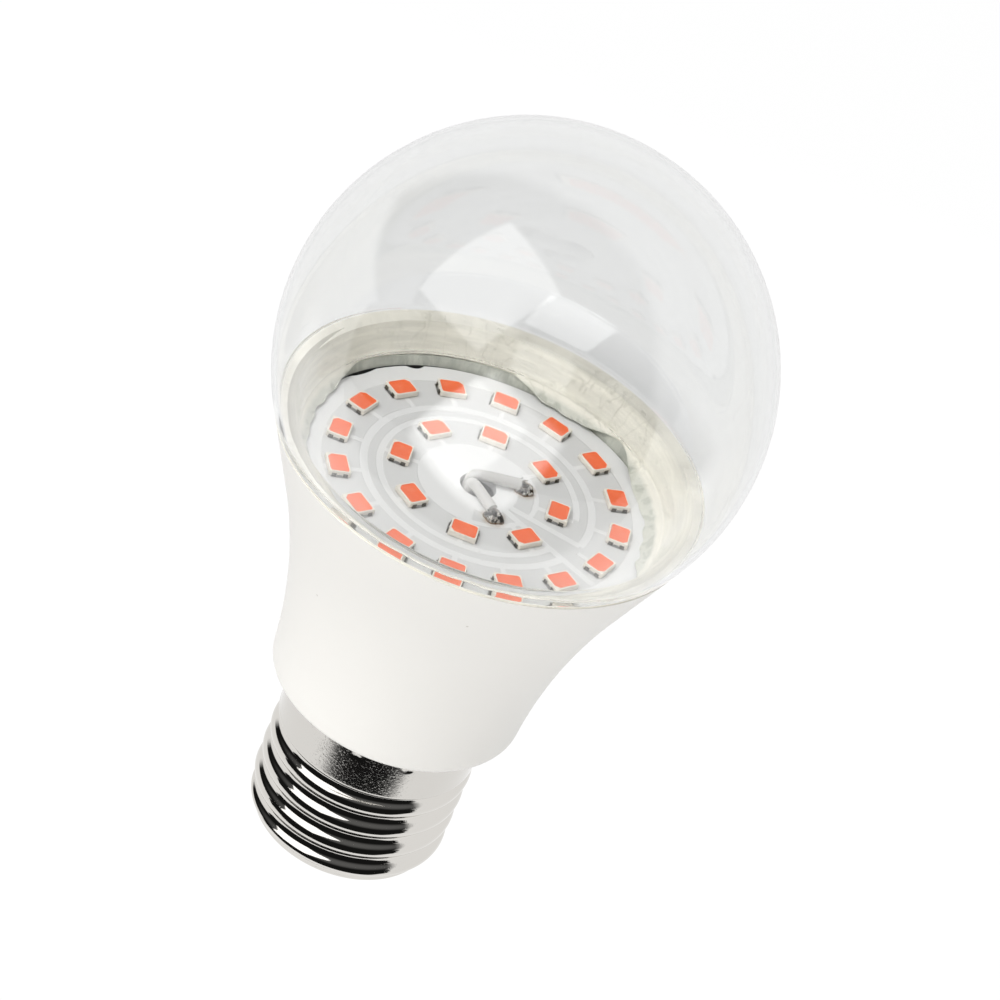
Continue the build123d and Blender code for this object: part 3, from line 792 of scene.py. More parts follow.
def ring_tree(name, template, material):
    """Tree that sets copies of a template round two rings, turned to face outwards."""
    board = bpy.context.scene.bulb_board
    inputs = {
        "Template": template,
        "Height": board.top + board.emitter_lift,
        "Outer radius": board.outer_ring,
        "Outer count": board.outer_count,
        "Inner radius": board.inner_ring,
        "Inner count": board.inner_count,
    }
    tree, entry, names = start_tree(name, inputs)
    info = tree.nodes.new("GeometryNodeObjectInfo")
    tree.links.new(entry.outputs["Template"], info.inputs["Object"])
    both = tree.nodes.new("GeometryNodeJoinGeometry")
    for ring in ("Outer", "Inner"):
        circle = tree.nodes.new("GeometryNodeMeshCircle")
        tree.links.new(entry.outputs[f"{ring} count"], circle.inputs["Vertices"])
        tree.links.new(entry.outputs[f"{ring} radius"], circle.inputs["Radius"])
        index = tree.nodes.new("GeometryNodeInputIndex")
        count = Term(tree, entry.outputs[f"{ring} count"])
        turn = Term(tree, index.outputs[0]) / count * (2 * pi) - pi / 2
        spin = tree.nodes.new("ShaderNodeCombineXYZ")
        tree.links.new(turn.socket, spin.inputs["Z"])
        copies = tree.nodes.new("GeometryNodeInstanceOnPoints")
        tree.links.new(circle.outputs["Mesh"], copies.inputs["Points"])
        tree.links.new(info.outputs["Geometry"], copies.inputs["Instance"])
        tree.links.new(spin.outputs[0], copies.inputs["Rotation"])
        tree.links.new(copies.outputs[0], both.inputs[0])
    lift = tree.nodes.new("GeometryNodeTransform")
    offset = tree.nodes.new("ShaderNodeCombineXYZ")
    tree.links.new(entry.outputs["Height"], offset.inputs["Z"])
    tree.links.new(both.outputs[0], lift.inputs["Geometry"])
    tree.links.new(offset.outputs[0], lift.inputs["Translation"])
    end_tree(tree, lift.outputs[0], material)
    return tree, names, inputs


def in_rings(name, mesh, material, slot, *replaced):
    """Piece made of copies of a template mesh round both rings of emitters."""
    template = bpy.data.objects.new("template", mesh)
    bpy.context.scene.collection.objects.link(template)
    made = smooth(grown(*ring_tree(name, template, material)))
    bpy.data.objects.remove(template)
    add_piece(name, made, material, slot, *replaced)


def corner_loop(size_x, size_y, corner, cut, height, parts=5):
    """Level loop round a rectangle with three round corners and one cut or round corner."""
    loop = []
    quarter = [(1, 1, 0), (-1, 1, 90), (-1, -1, 180), (1, -1, 270)]
    for sx, sy, start in quarter:
        x, y = sx * size_x / 2, sy * size_y / 2
        if cut and (sx, sy) == (1, 1):
            ends = [Vector((x, y - cut)), Vector((x - cut, y))]
            loop += [tuple(ends[0].lerp(ends[1], k / parts)) for k in range(parts + 1)]
            continue
        turns = [radians(start + 90 * k / parts) for k in range(parts + 1)]
        loop += [(x - sx * corner + corner * cos(t), y - sy * corner + corner * sin(t)) for t in turns]
    return [(px, py, height) for px, py in loop]


def stacked(loops):
    """Closed mesh through level loops of one count, with both ends filled."""
    count = len(loops[0])
    points = [point for loop in loops for point in loop]
    faces = [tuple(range(count)), tuple(range((len(loops) - 1) * count, len(loops) * count))]
    for k in range(len(loops) - 1):
        for j in range(count):
            a, b = k * count + j, k * count + (j + 1) % count
            faces.append((a, b, b + count, a + count))
    return closed_mesh(points, faces)


def tube_mesh(points, radius, sides=20):
    """Round wire along a smooth curve with the given control points."""
    data = bpy.data.curves.new("wire", "CURVE")
    data.dimensions, data.bevel_depth, data.bevel_resolution = "3D", radius, sides // 4
    data.use_fill_caps, data.resolution_u = True, 16
    spline = data.splines.new("NURBS")
    spline.points.add(len(points) - 1)
    for slot, point in zip(spline.points, points):
        slot.co = (*point, 1)
    spline.order_u, spline.use_endpoint_u = 3, True
    mesh = baked(bpy.data.objects.new("holder", data))
    bpy.data.curves.remove(data)
    return smooth(mesh, 50)


def waves(sizes, phases, t, first, step=1):
    """Sum of sine waves round the axis, with rising counts from the first."""
    terms = enumerate(zip(sizes, phases))
    return sum(size * sin((step * k + first) * t + 3 * phase) for k, (size, phase) in terms)


class BULB_OT_globe(Operator):
    """Clear globe with its folded skirt."""

    bl_idname = "bulb.globe"
    bl_label = "Globe"

    def execute(self, context):
        globe, house = context.scene.bulb_globe, context.scene.bulb_housing
        outside = house.rim_wall + globe.glue_gap
        inside = outside + globe.wall
        skirt_low, top = globe.shelf - globe.skirt_depth, globe.centre + globe.radius
        inner_shelf, inner_top = globe.shelf + globe.wall, top - globe.drawn_wall
        outer_line = ball_line(globe.radius, globe.centre, top, globe.shelf, 104)
        inner_line = ball_line(globe.radius - globe.drawn_wall, globe.centre, inner_shelf, inner_top, 100)
        outer_line[0], inner_line[-1] = (0.0, top), (0.0, inner_top)
        skirt_out = flare_line(globe.shelf, skirt_low, outside, 8)
        skirt_in = flare_line(skirt_low, inner_shelf, inside, 10)
        line = rounded(
            outer_line + skirt_out + skirt_in + inner_line,
            (outer_line[-1], globe.edge_round),
            (skirt_out[-1], globe.edge_round),
            (skirt_in[0], globe.edge_round),
            (skirt_in[-1], globe.fold_round),
            (inner_line[0], globe.fold_round),
        )
        reach, swing, count = 2.4 * MM, 0.13 * MM, 12
        lowest = min(range(len(line)), key=lambda k: line[k][1])
        share = [0.0] * (lowest + 1)
        share += [max(0.0, 1 - abs(z - inner_shelf) / reach) for r, z in line[lowest + 1 :]]
        draws = np.random.default_rng(11).uniform(-1, 1, (2, count))

        def wavy(t):
            """Profile with the moulding's inner fold, uneven in front and even at the back."""
            wave = waves(*draws, t, 7, 4) / 3
            wave *= swing * max(0.0, min(1.0, 0.3 - 1.5 * sin(t)))
            return [(r + 0.6 * wave * part, z + wave * part) for (r, z), part in zip(line, share)]

        mesh = lathe(wavy, 360, ring=False, limit=50)
        material = clear_finish(context.scene.bulb_finish.clear, globe.shelf)
        add_piece("clear_globe", mesh, material, "clear_plastic", "globe")
        return {"FINISHED"}


class BULB_OT_sealant(Operator):
    """Ring of sealant that holds the globe: seam, film and an uneven bead over the board's edge."""

    bl_idname = "bulb.sealant"
    bl_label = "Sealant"

    def execute(self, context):
        globe, house, board = context.scene.bulb_globe, context.scene.bulb_housing, context.scene.bulb_board
        film, skirt = house.rim_wall, house.rim_wall + globe.glue_gap
        skirt_low, touch, step = globe.shelf - globe.skirt_depth, 0.02 * MM, 0.1 * MM
        low, foot = skirt_low - globe.bead_drop, skirt_low + touch
        bead_in, film_face = skirt + globe.bead, skirt + globe.wall + 0.15 * MM
        cup_face = house.rim_wall + house.cup_gap + house.cup_wall + touch
        outer_face, inner_face = skirt + touch, skirt + globe.wall - touch
        rim_top, ball_gap = house.rim_height + 0.005 * MM, 0.04 * MM
        runs = ((1.0, 0.0, (-16, 40, 22)), (0.75, 0.0, (58, 84, 18)), (0.7, pi, (-28, 40, 24)))
        draws = np.random.default_rng(7).uniform(-1, 1, (2, 9))

        def wave(t, row):
            return waves(draws[row], draws[row][::-1], t, 2) / 4

        def window(t, first, last, soft):
            """1 between two angles, 0 outside them."""
            turn = (degrees(t) + 180) % 360 - 180
            part = max(0.0, min(1.0, (turn - first) / soft + 0.5, (last - turn) / soft + 0.5))
            return part * part * (3 - 2 * part)

        def between(first, second, part):
            return tuple(a + (b - a) * part for a, b in zip(first, second))

        def ball(height):
            """Radius of the globe's outside at a height."""
            return sqrt(globe.radius**2 - (height - globe.centre) ** 2)

        def line(t):
            """Section at one angle, whose bead runs over the board's edge in three places."""
            seam = 0.02 * MM * wave(t, 1) - ball_gap
            run = max(0.01, *(share * window(t + turned, *span) for share, turned, span in runs))
            sunk = low - run * (low - board.top - touch)
            climb = skirt_low + (0.5 + 0.2 * wave(t, 1)) * MM
            bead = flare_radius(low, bead_in) + 0.088 * MM * wave(t, 0)
            toe = (21.3 + 0.5 * wave(4 * t, 1)) * MM
            heel = flare_radius(low, film_face) - step
            wide = between((bead, low), (heel, low), run)[0]
            lobe = between((wide, low + step), (toe - step, board.top + 0.14 * MM), run)
            slope_run = ((22.1 + 0.3 * wave(5 * t, 0)) * MM, board.top + (0.6 + 0.25 * wave(6 * t, 1)) * MM)
            slope = between((wide, skirt_low - step), slope_run, run)
            tuck = (flare_radius(foot, bead_in), foot)
            inner_film = flare_line(skirt_low, climb - step, film_face, 4)
            inner_wall = flare_line(climb, foot + 0.2 * MM, inner_face, 5)
            inner_wall.append((flare_radius(foot, inner_face - 0.25 * MM), foot))
            inside = [between(tuck, point, run) for point in inner_film + inner_wall]
            return [
                (ball(globe.shelf) + seam, globe.shelf + touch),
                (ball(house.rim_height) + seam, rim_top),
                (flare_radius(house.rim_height, film + touch), rim_top),
                (flare_radius(low, film + touch), low),
                (flare_radius(low, cup_face), low),
                (flare_radius(sunk, cup_face), sunk),
                between((wide + step, low), (toe, sunk), run),
                lobe,
                slope,
                *inside,
                (flare_radius(foot, outer_face + 0.25 * MM), foot),
                (flare_radius(foot + 0.3 * MM, outer_face), foot + 0.3 * MM),
                (flare_radius(globe.shelf, outer_face), globe.shelf + touch),
            ]

        mesh = lathe(line, 480, limit=40)
        material = sealant_finish(context.scene.bulb_finish.sealant, low)
        add_piece("sealant", mesh, material, "sealant", "sealant_ring")
        return {"FINISHED"}


class BULB_OT_housing(Operator):
    """Moulded housing with its neck and guide ribs, and the aluminium cup in it."""

    bl_idname = "bulb.housing"
    bl_label = "Housing and cup"

    def execute(self, context):
        house, board, finish = context.scene.bulb_housing, context.scene.bulb_board, context.scene.bulb_finish
        step = board.top - board.thickness - house.cup_wall - house.cup_gap
        floor = house.foot_height + house.wall
        line = flare_line(house.foot_height, house.rim_height, 0, 60)
        foot = line[0]
        line += flare_line(house.rim_height, step, house.rim_wall, 14)
        line += flare_line(step, floor, house.wall, 40)
        line += [
            (house.neck_bore, floor),
            (house.neck_bore, house.neck_low),
            (house.neck_low_radius, house.neck_low),
            (house.neck_low_radius, house.neck_step),
            (house.neck_radius, house.neck_step),
            (house.neck_radius, house.foot_height),
        ]
        line = line[-1:] + line[:-1]
        line = rounded(line, (foot, house.foot_round))
        ribs = []
        reach, thick, half = 1.7 * MM, 1.0 * MM, 0.75 * MM
        for side in (-1, 1):
            for face in (-1, 1):
                x = sorted((face * half, face * (half + thick)))
                y = sorted((side * (house.neck_bore - reach), side * (house.neck_bore + 0.4 * MM)))
                ribs.append(box_mesh((x[0], y[0], house.neck_low), (x[1], y[1], floor)))
        body = merged([lathe(line), *ribs])
        add_piece("white_housing", body, housing_finish(finish.housing), "white_plastic", "housing")

        globe = context.scene.bulb_globe
        cup_top = globe.shelf - globe.skirt_depth - globe.bead_drop
        seat = board.top - board.thickness
        outer, inner = house.cup_gap, house.cup_gap + house.cup_wall
        lip = flare_radius(house.cup_low, house.wall + inner) - house.cup_lip
        cup = [(lip, house.cup_low)]
        cup += flare_line(house.cup_low, seat - house.cup_wall, house.wall + outer, 30)
        cup += flare_line(seat - house.cup_wall, cup_top, house.rim_wall + outer, 6)
        cup += flare_line(cup_top, seat, house.rim_wall + inner, 6)
        cup += flare_line(seat, house.cup_low + house.cup_wall, house.wall + inner, 30)
        cup += [(lip, house.cup_low + house.cup_wall)]
        metal = aluminium_finish(finish.aluminium, board.top)
        add_piece("aluminium_cup", lathe(cup), metal, "aluminium", "heat_sink_cup")
        return {"FINISHED"}


class BULB_OT_board(Operator):
    """Light-emitting board with its wire hole and edge notches."""

    bl_idname = "bulb.board"
    bl_label = "Board"

    def execute(self, context):
        house, board, finish = context.scene.bulb_housing, context.scene.bulb_board, context.scene.bulb_finish
        low = board.top - board.thickness
        edge = flare_radius(low, house.rim_wall + house.cup_gap + house.cup_wall) - 0.02 * MM
        notches = ((radians(122.6), 2.6 * MM, 0.55 * MM), (radians(143.0), 4.6 * MM, 0.34 * MM))
        ease = 0.06 * MM

        def line(t):
            outer = edge
            for place, width, depth in notches:
                off = ((t - place + pi) % (2 * pi) - pi) * edge / (width / 2)
                outer -= depth * max(0.0, 1 - off**2)
            hole = board.hole
            return [
                (hole + ease, board.top),
                (outer - ease, board.top),
                (outer, board.top - ease),
                (outer, low + ease),
                (outer - ease, low),
                (hole + ease, low),
                (hole, low + ease),
                (hole, board.top - ease),
            ]

        material = board_finish(finish.mask, finish.copper_field)
        add_piece("emitter_board", lathe(line, 720), material, "board_white", "led_board")
        return {"FINISHED"}


class BULB_OT_emitters(Operator):
    """Packages, gel fillings, tinned legs and solder of the emitters, set round both rings."""

    bl_idname = "bulb.emitters"
    bl_label = "Emitters"

    def execute(self, context):
        board, finish = context.scene.bulb_board, context.scene.bulb_finish
        size_x, size_y, rise = board.emitter_length, board.emitter_width, board.emitter_height
        rim, ease = board.emitter_rim, 0.05 * MM
        corner, cut, well = 0.34 * MM, 0.52 * MM, 0.4 * MM
        mouth_x, mouth_y = size_x - 2 * rim, size_y - 2 * rim
        draw = 0.07 * MM
        slope = 2 * well * tan(radians(20))
        loops = [
            corner_loop(size_x - ease, size_y - ease, 0.12 * MM, 0, 0),
            corner_loop(size_x, size_y, 0.14 * MM, 0, ease),
            corner_loop(size_x - draw, size_y - draw, 0.14 * MM, 0, rise - ease),
            corner_loop(size_x - draw - 2 * ease, size_y - draw - 2 * ease, 0.12 * MM, 0, rise),
            corner_loop(mouth_x + ease, mouth_y + ease, corner, cut, rise),
            corner_loop(mouth_x, mouth_y, corner, cut, rise - ease / 2),
            corner_loop(mouth_x - slope, mouth_y - slope, corner * 0.6, cut * 0.7, rise - well),
        ]
        packages = package_finish(finish.package)
        in_rings("led_packages", stacked(loops), packages, "led_package", *OUTER_EMITTERS, *INNER_EMITTERS)

        play, taper = 0.03 * MM, slope * 0.9
        gel = [corner_loop(mouth_x - taper, mouth_y - taper, corner * 0.6, cut * 0.7, rise - well * 0.9)]
        for share, sink in ((1.0, 0), (0.94, 0.025), (0.8, 0.045), (0.5, 0.06), (0.2, 0.065)):
            width, depth = (mouth_x - play) * share, (mouth_y - play) * share
            gel.append(corner_loop(width, depth, corner * share, cut * share, rise - play - sink * MM))
        gels = gel_finish(finish.gel)
        in_rings("led_gels", stacked(gel), gels, "led_phosphor", "led_phosphor_outer", "led_phosphor_inner")

        legs, fillets = [], []
        lift, out, pad_half = board.emitter_lift, 0.22 * MM, 1.1 * MM
        leg_row, leg_half, leg_top = 0.72 * MM, 0.3 * MM, 0.36 * MM
        reaches = (0.02 * MM, 0.07 * MM), (0.6 * MM, 0.14 * MM), (0.68 * MM, out)
        for end in (-1, 1):
            leg, foot, pad = (
                sorted((end * (size_x / 2 - inner), end * (size_x / 2 + outer))) for inner, outer in reaches
            )
            for row in (-leg_row, leg_row):
                y = row - leg_half, row + leg_half
                legs.append(box_mesh((leg[0], y[0], -lift * 0.2), (leg[1], y[1], leg_top), 0.02 * MM))
                legs.append(box_mesh((foot[0], y[0], -lift * 0.5), (foot[1], y[1], 0.0), 0.015 * MM))
            fillets.append(box_mesh((pad[0], -pad_half, -lift), (pad[1], pad_half, -lift * 0.45), 0.03 * MM))
            wedge_x = end * size_x / 2
            wedge = [
                [(wedge_x, y * MM, -lift * 0.5), (wedge_x + end * out, y * MM, -lift * 0.5)]
                + [(wedge_x + end * 0.10 * MM, y * MM, 0.03 * MM), (wedge_x, y * MM, 0.17 * MM)]
                for y in np.linspace(-0.33, 0.33, 4)
            ]
            fillets.append(stacked(wedge))
        # Painted shade: the legs' tin is made dark, as the legs look in shadow.
        tin = metal_finish("leg_tin_painted_dark", (0.16, 0.145, 0.12), 0.3)
        in_rings("led_legs", merged(legs), tin, "solder")
        bright = metal_finish("pad_solder", shade(finish.solder, 0.6), 0.45, dirt=0.5)
        in_rings("led_feet", merged(fillets), bright, "solder", "led_solder_pads")
        return {"FINISHED"}


class BULB_OT_wires(Operator):
    """Two sleeved wires out of the hole and their soldered ends."""

    bl_idname = "bulb.wires"
    bl_label = "Wires and joints"

    def execute(self, context):
        board, finish = context.scene.bulb_board, context.scene.bulb_finish
        sleeve = plain_finish("wire_sleeve", finish.wire, 0.36, 700, 0.04, Specular_IOR_Level=0.5)
        tin = joint_finish(finish.solder, board.top)
        exits = {"positive": (-1, (-1.0, -1.15)), "negative": (1, (-1.2, 0.25))}
        for name, (side, exit_at) in exits.items():
            turn = JOINT_TURNS[name]
            joint = Vector((JOINT_REACH * cos(turn), JOINT_REACH * sin(turn), board.top))
            leave = Vector((exit_at[0] * MM, exit_at[1] * MM, board.top + 1.15 * MM))
            level = (joint - leave) * Vector((1, 1, 0))
            end = joint - level.normalized() * 0.75 * MM + Vector((0, 0, 0.85 * MM))
            back = Vector((-1.45 * MM, side * 1.95 * MM, 0))
            route = [
                back + Vector((0, 0, 36.0 * MM)),
                back + Vector((0, 0, 42.0 * MM)),
                Vector((leave.x, leave.y, 53.0 * MM)),
                Vector((leave.x, leave.y, board.top - 0.4 * MM)),
                leave,
                leave.lerp(end, 0.45) + Vector((0, 0, 0.12 * MM)),
                end,
            ]
            wire = tube_mesh(route, board.wire)
            add_piece(f"{name}_wire", wire, sleeve, "wire_white", f"wire_{name}")
            dome = self.dome(joint, board.joint, 5 + side)
            strands = self.strands(end, level.normalized(), board.wire, 8 + side)
            add_piece(f"{name}_joint", merged([dome, *strands]), tin, "solder", f"solder_joint_{name}")
        return {"FINISHED"}

    def strands(self, end, way, spread, seed):
        """Stray ends of the wire's fine strands, which stand out of the solder."""
        across = Vector((-way.y, way.x, 0))
        meshes = []
        for off, lift, run in np.random.default_rng(seed).uniform(0, 1, (6, 3)):
            start = end + across * (off * 2 - 1) * spread - way * 0.1 * MM
            rise = Vector((0, 0, (lift - 0.35) * 0.7 * MM))
            tip = start + way * (0.5 + run) * 0.8 * MM + rise + across * (off - 0.5) * MM
            middle = start.lerp(tip, 0.5) + Vector((0, 0, 0.1 * MM))
            meshes.append(tube_mesh([start, middle, tip], 0.07 * MM, 8))
        return meshes

    def dome(self, joint, radius, seed):
        """Uneven dome of solder."""
        draws = np.random.default_rng(seed).uniform(-1, 1, (2, 6))
        rise, steps = 0.98 * MM, [(1.0, 0.0), (0.99, 0.12), (0.93, 0.36), (0.8, 0.62)]
        steps += [(0.6, 0.84), (0.36, 0.97), (0.15, 1.0)]

        def line(t):
            swell = 1 + 0.05 * waves(*draws, t, 2)
            return [(0.0, 0.0)] + [(r * swell * radius, z * rise) for r, z in steps] + [(0.0, rise)]

        mesh = lathe(line, 64, ring=False, limit=60)
        mesh.transform(Matrix.Translation(joint))
        return mesh


class BULB_OT_driver(Operator):
    """Finishes of the driver parts, which stay as their solids."""

    bl_idname = "bulb.driver"
    bl_label = "Driver"

    def execute(self, context):
        solder = context.scene.bulb_finish.solder
        cans = ["input_capacitor", "output_capacitor"]
        chips = ["rectifier", "driver_chip", "freewheel_diode", "chip_resistors"]
        finishes = (
            (plain_finish("driver_laminate", (0.56, 0.44, 0.21), 0.5, 1400), ["driver_board"]),
            (plain_finish("can_sleeve", (0.012, 0.013, 0.017), 0.28, 900), cans),
            (plain_finish("ferrite", (0.022, 0.022, 0.024), 0.62, 2200), ["inductor_core"]),
            (plain_finish("winding_tape", (0.68, 0.38, 0.02), 0.35, 500), ["inductor_winding"]),
            (plain_finish("epoxy_black", (0.006, 0.006, 0.007), 0.55, 3000), chips),
            (plain_finish("fuse_coat", (0.15, 0.26, 0.32), 0.4, 1500), ["fuse_resistor"]),
            (metal_finish("lead_tin", solder, 0.25), ["live_lead", "neutral_lead"]),
        )
        for material, nodes in finishes:
            for node in nodes:
                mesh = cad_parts[node].data
                mesh.materials.clear()
                mesh.materials.append(material)
        return {"FINISHED"}


class BULB_OT_cap(Operator):
    """Screw cap: rolled shell with crimped collar, insulator and riveted contact."""

    bl_idname = "bulb.cap"
    bl_label = "Screw cap"

    def execute(self, context):
        cap, finish = context.scene.bulb_cap, context.scene.bulb_finish
        nickel = nickel_finish(finish.nickel, cap.thread_top + 0.6 * MM)
        shell = grown(*self.shell_tree(cap, nickel))
        work = bmesh.new()
        work.from_mesh(shell)
        bmesh.ops.remove_doubles(work, verts=work.verts, dist=1e-6)
        bmesh.ops.recalc_face_normals(work, faces=work.faces)
        outward = sum(face.normal.dot(face.calc_center_median() * Vector((1, 1, 0))) for face in work.faces)
        if outward < 0:
            bmesh.ops.reverse_faces(work, faces=work.faces)
        work.to_mesh(shell)
        work.free()
        holder = bpy.data.objects.new("holder", shell)
        wall = holder.modifiers.new("wall", "SOLIDIFY")
        wall.thickness, wall.offset = cap.wall, -1
        add_piece("rolled_shell", smooth(baked(holder), 45), nickel, "nickel", "screw_shell")

        mouth = cap.mouth - cap.wall - 0.1 * MM
        shank, nose, nose_low = 1.35 * MM, 6.2 * MM, 0.8 * MM
        flange, flange_low, flange_top = 11.65 * MM, cap.thread_low + 0.4 * MM, cap.thread_low + 1.2 * MM
        cone = [
            (shank, nose_low),
            (nose, nose_low),
            (mouth, cap.mouth_low),
            (mouth, cap.mouth_low + cap.wall),
            (flange, flange_low),
            (flange, flange_top),
            (shank, flange_top),
        ]
        cone = rounded(cone, (cone[1], 0.6 * MM), (cone[2], 0.5 * MM), (cone[5], 0.3 * MM))
        black = plain_finish("insulator", (0.010, 0.010, 0.012), 0.16, 700, 0.3, Coat_Weight=0.6)
        add_piece("insulator", lathe(cone), black, "insulator_black", "cap_insulator")

        head, head_top, pin, bore = 4.8 * MM, 0.795 * MM, 1.3 * MM, 0.6 * MM
        pin_top, bore_low = cap.thread_low + 2.6 * MM, 0.7 * MM
        rivet = [
            (0.0, 0.0),
            (head, 0.0),
            (head, head_top),
            (pin, head_top),
            (pin, pin_top),
            (bore, pin_top),
            (bore, bore_low),
            (0.0, bore_low),
        ]
        rivet = rounded(rivet, (rivet[1], 0.35 * MM), (rivet[2], 0.15 * MM))
        add_piece("contact", lathe(rivet, 96, ring=False), nickel, "nickel", "centre_contact")
        return {"FINISHED"}

    def shell_tree(self, cap, material):
        """Tree that bends a grid into the shell: tapered mouth, rolled thread, crimped collar."""
        inputs = {
            "Crest": cap.crest,
            "Pitch": cap.pitch,
            "Rolled round": cap.rolled_round,
            "Thread low": cap.thread_low,
            "Thread top": cap.thread_top,
            "Mouth low": cap.mouth_low,
            "Mouth": cap.mouth,
            "Collar": cap.collar,
            "Collar blend": cap.collar_blend,
            "Collar top": cap.collar_top,
            "Start": cap.start,
            "Crimps": cap.crimps,
            "Crimp radius": cap.crimp_radius,
            "Crimp depth": cap.crimp_depth,
            "Crimp drop": cap.crimp_drop,
            "Crimp turn": cap.crimp_turn,
            "Around": AROUND + 1,
            "Rows": SHELL_ROWS,
        }
        tree, entry, names = start_tree("rolled_shell", inputs)
        value = {label: Term(tree, entry.outputs[label]) for label in inputs}
        grid = tree.nodes.new("GeometryNodeMeshGrid")
        grid.inputs["Size X"].default_value = grid.inputs["Size Y"].default_value = 1.0
        tree.links.new(value["Around"].socket, grid.inputs["Vertices X"])
        tree.links.new(value["Rows"].socket, grid.inputs["Vertices Y"])
        here = tree.nodes.new("GeometryNodeInputPosition")
        split = tree.nodes.new("ShaderNodeSeparateXYZ")
        tree.links.new(here.outputs[0], split.inputs[0])
        turn = (Term(tree, split.outputs["X"]) + 0.5) * (2 * pi)
        span = value["Collar top"] - value["Mouth low"]
        height = (Term(tree, split.outputs["Y"]) + 0.5) * span + value["Mouth low"]

        pitch, rolled, crest = value["Pitch"], value["Rolled round"], value["Crest"]
        phase = height / pitch - (turn - value["Start"]) / (2 * pi)
        along = (phase - phase.nearest()).size() * pitch
        quarter = pitch / 4
        depth = (rolled - (rolled * rolled - quarter * quarter).root()) * 2
        root_radius = crest - depth
        ridge = crest - rolled + (rolled * rolled - along * along).most(0.0).root()
        far = pitch / 2 - along
        valley = root_radius + rolled - (rolled * rolled - far * far).most(0.0).root()
        on_ridge = along.math("LESS_THAN", quarter)
        thread = valley + on_ridge * (ridge - valley)

        rise = ((height - value["Mouth low"]) / (value["Thread low"] - value["Mouth low"])).least(1.0)
        bulge = (1 - (1 - rise) * (1 - rise)).most(0.0).root()
        plain = value["Mouth"] + bulge * (root_radius - value["Mouth"])
        collar_low = value["Thread top"]
        in_collar = height.eased(collar_low, collar_low + value["Collar blend"])
        run_in = height.eased(value["Thread low"], value["Thread low"] + pitch / 2)
        radius = plain + run_in * (thread - plain)
        radius = radius + in_collar * (value["Collar"] - radius)

        step = (2 * pi) / value["Crimps"]
        past = turn - value["Crimp turn"]
        off = (past - (past / step).nearest() * step) * value["Collar"]
        drop = height - (value["Collar top"] - value["Crimp drop"])
        away = (off * off + drop * drop).root()
        dent = 1 - away.eased(0.0, value["Crimp radius"])
        radius = radius - dent * value["Crimp depth"]

        spot = tree.nodes.new("ShaderNodeCombineXYZ")
        parts = (radius * turn.math("COSINE"), radius * turn.math("SINE"), height)
        for part, slot in zip(parts, spot.inputs):
            tree.links.new(part.socket, slot)
        move = tree.nodes.new("GeometryNodeSetPosition")
        tree.links.new(grid.outputs["Mesh"], move.inputs["Geometry"])
        tree.links.new(spot.outputs[0], move.inputs["Position"])
        end_tree(tree, move.outputs[0], material)
        return tree, names, inputs


